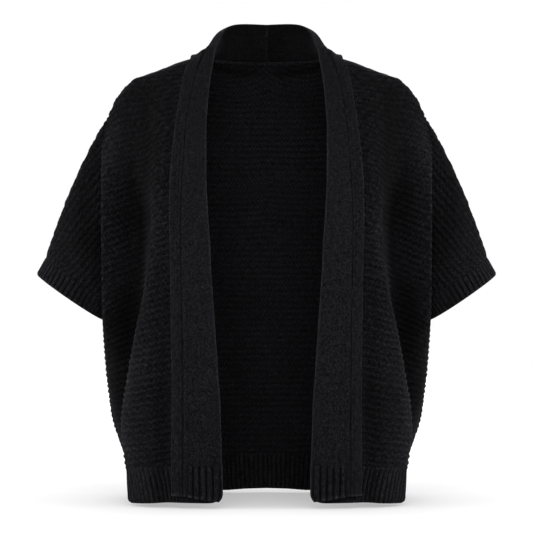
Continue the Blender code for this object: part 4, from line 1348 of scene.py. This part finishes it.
class OBJECT_OT_cardigan_bands(bpy.types.Operator):
    """Builds the folded front bands with their ribbed ends, and the strips along them"""
    bl_idname = "object.cardigan_bands"
    bl_label = "Bands"

    def band(self, main, stations, shoulder, knit):
        """Both folded bands; returns their width from the fold's crown to the joint."""
        width = distances(main, 1).mean(0)
        fold_start, crown, fold_end, joint = width[[1, 4, 6, -1]]
        places = np.concatenate((
            spaced(fold_start, BAND_ACROSS_STEP)[:-1],
            np.linspace(fold_start, fold_end, FOLD_COLUMNS, endpoint=False),
            np.linspace(fold_end, joint, OUTER_COLUMNS)))
        lift = np.interp(places, (crown, fold_end, joint), END_LIFT)
        grid = raised_end(resampled(main, stations, places), stations, lift)
        at_hem = distances(grid, 0)[:, 0]
        at_hem = (at_hem - np.interp(crown, places, at_hem))[:, None]
        stations, places = stations[None], places[:, None]
        u, outside = places - crown, climb(places, fold_end, joint)

        # the fold's lower corner, drawn in and up
        corner = bell(u, 9 * MM) * climb(stations, 15 * MM, 0) ** 2
        inward = unit(grid[0] - grid[np.argmin(np.abs(u))])
        grid = grid + corner[..., None] * (6.0 * inward[None] + (0.0, 0.0, 3.0)) * MM

        # the ribbed end, and the walls
        rib_line = HEM_DEPTH + BAND_RIB_SHARE / HEM_SHARE * HEM_DEPTH
        ribbed = smooth(climb(stations, rib_line, rib_line - 6 * MM))
        ribs = rib(at_hem - 3.2 * MM, knit.band_rib_pitch, BAND_RIB_HOLLOW)
        ribs = ribs * ribbed + (1 - ribbed) * 0.4
        walls = ribbed_walls(ribs, 0 * ribs, knit.rib_height * 0.85, BAND_WALL + 0.4 * MM)
        roll = edge_taper(stations, BAND_RIM) * edge_taper(joint - places, 1.3 * MM)
        walls = [(wall + 0.2 * MM * (1 - ribbed)) * roll for wall in walls]
        swell = (0.5 * MM * np.sin(np.pi * outside)
                 + BAND_SOFTNESS * unevenness(u, stations, SEEDS["band"], 0.03, 0.14))
        grid = grid + grid_normals(grid) * swell[..., None]

        painted_light_and_tone = band_painted_light_and_mottle(u, joint - places, outside, stations, shoulder)
        # The ribbed end takes the ribs' painted shade and light.
        painted_light_and_tone = painted_light_and_tone * (1 - ribbed + ribbed * rib_painted_light(ribs))
        # Painted shade at the collar's centre back: one lining is painted darker and the other
        # lighter, as one laps the other; the band's underside is painted in shade.
        centre = (u < LINING_END) * bell(stations[0, -1] - stations, 24 * MM)
        lapped_painted_shade = {LEFT: 1 - 0.20 * centre, RIGHT: 1 + 0.30 * centre}    # one laps the other
        for word, side in SIDES:
            piece = closed_skin(f"front_band_skin_{word}", mirrored(grid, side), walls,
                                knit_map(u, stations), yarn_finish("jersey_yarn"),
                                facing=side, painted_light_and_tones=(painted_light_and_tone * lapped_painted_shade[side], 0.6))
            declare(piece, (f"front_band_{word}", f"band_rib_{word}"))
        return joint - crown

    def strip(self, strip, stations, start):
        """Both strips beyond the joint; start is where the band's own columns leave off."""
        places = spaced(distances(strip, 1).mean(0)[-1], 1.0 * MM)
        grid = resampled(strip, stations, places)
        grid = raised_end(grid, stations, np.linspace(END_LIFT[-1], 1.0, len(places)))
        stations, places = stations[None], places[:, None]
        u, to_edge = start + places, places[-1] - places
        uneven = unevenness(places, stations, SEEDS["strip"], 0.03, 0.12)
        grid = grid + grid_normals(grid) * (BAND_SOFTNESS * uneven)[..., None]
        wall = (BAND_WALL / 2 * edge_taper(stations, BAND_RIM) * edge_taper(places, 1.2 * MM)
                * edge_taper(to_edge, 1.8 * MM))
        # A painted highlight on the strip's free edge, brightest over the chest, painted shade
        # at the joint, a painted highlight on the lower edge and painted shade on the underside;
        # the unevenness is random.
        rim = 0.42 + 0.40 * bell(stations - CHEST_STATION, CHEST_REACH)
        painted_light_and_tone = (0.80 - 0.08 * bell(places, 1.6 * MM) + rim * bell(to_edge, 1.8 * MM)
                + 1.4 * columns(places) + 1.5 * edge_painted_highlight(stations / 1.5))
        painted_light_and_tone = painted_light_and_tone * (1 + 0.20 * unevenness(u, stations, SEEDS["strip's shade"], 0.004, 0.012))
        for word, side in SIDES:
            piece = closed_skin(f"band_edge_skin_{word}", mirrored(grid, side), (wall, wall),
                                knit_map(stations, u), yarn_finish("jersey_yarn"),
                                facing=side, painted_light_and_tones=(painted_light_and_tone, 0.6))
            declare(piece, (f"band_edge_{word}",))

    def execute(self, context):
        main, strip = band_layers()
        along = distances(main, 0).mean(1)
        stations = band_stations(along[-1])
        shoulder = stations[np.argmin(np.abs(stations - along[len(BAND_SHARES) - 1]))]
        joint = self.band(main, stations, shoulder, context.scene.cardigan_knit)
        self.strip(strip, stations, joint)
        return {"FINISHED"}


# ----------------------------------------------------------------------- stitching
CHAIN_INSET = 4.2 * MM            # of the chain from the joint with the strip
CHAIN_FOOT = 2                    # stations of the band below the chain's first stitch
NECK_STITCHES = (3.9 * MM, 4.6 * MM, 2.2 * MM, 0.45 * MM, 0.30, 0.45)
COLLAR_STITCHES = (3.2 * MM, 3.8 * MM, 1.8 * MM, 0.30 * MM, 0.0, 0.2)
NECK_DIP = (0.0, 0.0, -3.6 * MM)
TO_THE_FRONT = (0.0, -1.0, 0.0)


class OBJECT_OT_cardigan_stitching(bpy.types.Operator):
    """Lays the chain of linking stitches down the bands and sews the neck seams"""
    bl_idname = "object.cardigan_stitching"
    bl_label = "Stitching"

    def sewn(self, name, spots, outs, sizes, seed):
        """Stitches along these spots; sizes are those of STITCH_SIZES, in its order."""
        values = dict(zip(STITCH_SIZES, sizes), Seed=seed, Material=yarn_finish("linking_yarn"))
        piece = grown(path_object(name + " path", spots, outs), stitch_tree(), values, name)
        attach(piece, "root")

    def chains(self, main, stitch):
        """A chain along each band, beside the joint with its strip."""
        stations = spaced(distances(main, 0).mean(1)[-1], BAND_STATION_STEP)
        outer = main[:, -2:]
        edge = resampled(outer, stations, distances(outer, 1).mean(0))
        edge = raised_end(edge, stations, np.array((0.55, END_LIFT[-1])))
        inward = unit(edge[0] - edge[1])
        outs = unit(np.cross(np.gradient(edge[1], axis=0), inward))
        line = edge[1] + inward * CHAIN_INSET + outs * (BAND_WALL / 2 + 0.35 * MM)
        sizes = (stitch.chain_length, stitch.chain_length * 1.25, stitch.chain_width,
                 stitch.thread_radius, 0.0, 0.10)
        for word, side in SIDES:
            self.sewn(f"chain_stitch_{word}", mirrored(line[CHAIN_FOOT:], side),
                      mirrored(outs[CHAIN_FOOT:], side), sizes, stitch.seed)

    def execute(self, context):
        stitch = context.scene.cardigan_stitching
        main, _ = band_layers()
        self.chains(main, stitch)

        # rolled seam round the back of the neck, seen inside
        share = np.linspace(-1, 1, 81)
        seam = neck_seam(np.abs(share))
        seam[:, 0] *= np.sign(share)
        outs = np.tile(TO_THE_FRONT, (len(share), 1))
        seam = (seam + np.cos(share * math.pi / 2)[:, None] * NECK_DIP
                + outs * (PANEL_WALL / 2 + 0.9 * MM))
        self.sewn("neck_seam", seam, outs, NECK_STITCHES, stitch.seed)

        # the collar's own seam at the centre back, on the face towards the neck
        inner = main[-1, :5]
        up = spline(distances(inner[:, None], 0)[:, 0], inner, np.linspace(0.001, 0.046, 16))
        outs = np.tile(TO_THE_FRONT, (len(up), 1))
        self.sewn("collar_seam", up + outs * (BAND_WALL / 2 + 0.2 * MM), outs,
                  COLLAR_STITCHES, stitch.seed)
        return {"FINISHED"}


# -------------------------------------------------------------------------- stage
class OBJECT_OT_cardigan_stage(bpy.types.Operator):
    """Lays the floor, sets the lamps and the camera"""
    bl_idname = "object.cardigan_stage"
    bl_label = "Stage"

    FLOOR_RADIUS, FLOOR_SIDES = 4.0, 64
    FLOOR_COLOUR = (0.86, 0.19)       # as the garment sees it, and as the camera does
    FLOOR_GLOW = (0.80, 1.20)         # by the garment, and from 1.6 m away
    GLOW_PLACES = (0.3, 1.6)
    # The floor's painted shadow: how dark the glow gets under the garment, and how far the
    # occlusion looks.
    SHADOW_DEPTH, SHADOW_REACH = 0.36, 0.50
    AMBIENT = 0.16
    LAMPS = (      # name, place, aim, width, height, watts
        ("key", (0.0, -2.3, 1.5), (0.0, -0.1, -0.25), 1.6, 1.0, 46.0),
        ("front fill", (0.0, -3.4, -0.1), (0.0, -0.1, -0.3), 1.0, 1.0, 10.0),
        ("left rim", (-2.5, -0.75, 0.35), (0.0, -0.1, -0.3), 0.8, 1.6, 52.0),
        ("right rim", (2.5, -0.75, 0.35), (0.0, -0.1, -0.3), 0.8, 1.6, 52.0),
        ("back", (0.0, 2.5, 1.1), (0.0, 0.0, -0.25), 1.8, 1.0, 50.0),
    )
    CAMERA_X, CAMERA_Z = -0.0001, -0.2905

    def floor_material(self):
        """Matt under the garment's light; to the camera it glows, less near the garment,
        with a painted shadow from an occlusion node darkening the glow beside the hem.
        """
        shader = Shader("pale_floor")
        shader.tree.nodes.remove(shader.surface)
        seen = shader.add("ShaderNodeLightPath", output="Is Camera Ray")
        colour = shader.ramp(seen, 0.0, 1.0, *self.FLOOR_COLOUR)
        matt = shader.add("ShaderNodeBsdfDiffuse", {"Color": colour})
        away = shader.add("ShaderNodeVectorMath", {0: shader.place()}, "Value",
                          operation="LENGTH")
        sky = shader.add("ShaderNodeAmbientOcclusion", {"Distance": self.SHADOW_REACH}, "AO",
                         samples=12)
        glow = shader.times(shader.ramp(sky, 0.0, 1.0, self.SHADOW_DEPTH, 1.0),
                            shader.ramp(away, *self.GLOW_PLACES, *self.FLOOR_GLOW))
        glow = shader.add("ShaderNodeEmission", {"Strength": shader.times(seen, glow)})
        both = shader.add("ShaderNodeAddShader", {0: matt, 1: glow})
        shader.join(shader.tree.nodes["Material Output"].inputs["Surface"], both)
        return shader.material

    def floor(self, level):
        steps = np.linspace(0, 2 * np.pi, self.FLOOR_SIDES, endpoint=False)
        ring = np.stack((np.cos(steps), np.sin(steps), 0 * steps), 1) * self.FLOOR_RADIUS
        ring[:, 2] = level
        mesh = bpy.data.meshes.new("floor")
        mesh.from_pydata(ring.tolist(), [], [list(range(self.FLOOR_SIDES))])
        mesh.materials.append(self.floor_material())
        linked("floor", mesh)

    def world(self, scene):
        """White to the camera, and a soft light on the garment."""
        scene.world = bpy.data.worlds.new("white studio")
        scene.world.use_nodes = True
        nodes = Nodes(scene.world.node_tree)
        light = nodes.tree.nodes["Background"].inputs
        seen = nodes.add("ShaderNodeLightPath", output="Is Camera Ray")
        nodes.join(light["Color"], (1.0, 1.0, 1.0, 1.0))
        nodes.join(light["Strength"], nodes.ramp(seen, 0.0, 1.0, self.AMBIENT, 1.0))

    def lamp(self, scene, name, place, aim, width, height, watts):
        lamp = bpy.data.lights.new(name, "AREA")
        lamp.shape = "RECTANGLE"
        lamp.size = width
        lamp.size_y = height
        lamp.energy = watts
        holder = bpy.data.objects.new(name, lamp)
        holder.location = place
        towards = Vector(aim) - Vector(place)
        holder.rotation_euler = towards.to_track_quat("-Z", "Y").to_euler()
        holder.visible_camera = False
        scene.collection.objects.link(holder)

    def camera(self, scene, stage):
        camera = bpy.data.cameras.new("camera")
        camera.lens = stage.lens
        camera.sensor_width = 36.0
        camera.clip_end = 60.0
        eye = bpy.data.objects.new("camera", camera)
        eye.location = (self.CAMERA_X, -stage.distance, self.CAMERA_Z)
        eye.rotation_euler = (math.radians(90), 0.0, 0.0)
        scene.collection.objects.link(eye)
        scene.camera = eye

    def execute(self, context):
        scene = context.scene
        stage = scene.cardigan_stage
        scene.view_settings.view_transform = "Standard"
        self.floor(CAD_BOX[0][2] - stage.floor_drop)
        self.world(scene)
        for lamp in self.LAMPS:
            self.lamp(scene, *lamp)
        self.camera(scene, stage)
        return {"FINISHED"}


# ------------------------------------------------------------------------- add-on
SETTINGS = {"cardigan_knit": CardiganKnit, "cardigan_yarn": CardiganYarn,
            "cardigan_stitching": CardiganStitching, "cardigan_stage": CardiganStage}
OPERATORS = (OBJECT_OT_cardigan_panels, OBJECT_OT_cardigan_ribs, OBJECT_OT_cardigan_bands,
             OBJECT_OT_cardigan_stitching, OBJECT_OT_cardigan_stage)


class VIEW3D_PT_cardigan(bpy.types.Panel):
    """Lists the cardigan's settings and the steps that build it"""
    bl_idname = "VIEW3D_PT_cardigan"
    bl_label = "Cardigan"
    bl_space_type = "VIEW_3D"
    bl_region_type = "UI"
    bl_category = "Cardigan"

    def draw(self, context):
        for group in SETTINGS:
            box = self.layout.box()
            settings = getattr(context.scene, group)
            for name in settings.bl_rna.properties.keys():
                if name not in ("rna_type", "name"):
                    box.prop(settings, name)
        for operator in OPERATORS:
            self.layout.operator(operator.bl_idname)


CLASSES = (*SETTINGS.values(), *OPERATORS, VIEW3D_PT_cardigan)


def register():
    for made in CLASSES:
        bpy.utils.register_class(made)
    for name, made in SETTINGS.items():
        setattr(bpy.types.Scene, name, PointerProperty(type=made))


def unregister():
    for name in SETTINGS:
        delattr(bpy.types.Scene, name)
    for made in reversed(CLASSES):
        bpy.utils.unregister_class(made)


def main():
    register()
    bpy.ops.object.cardigan_panels()
    bpy.ops.object.cardigan_ribs()
    bpy.ops.object.cardigan_bands()
    bpy.ops.object.cardigan_stitching()
    bpy.ops.object.cardigan_stage()
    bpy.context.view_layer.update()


if __name__ == "__main__":
    main()
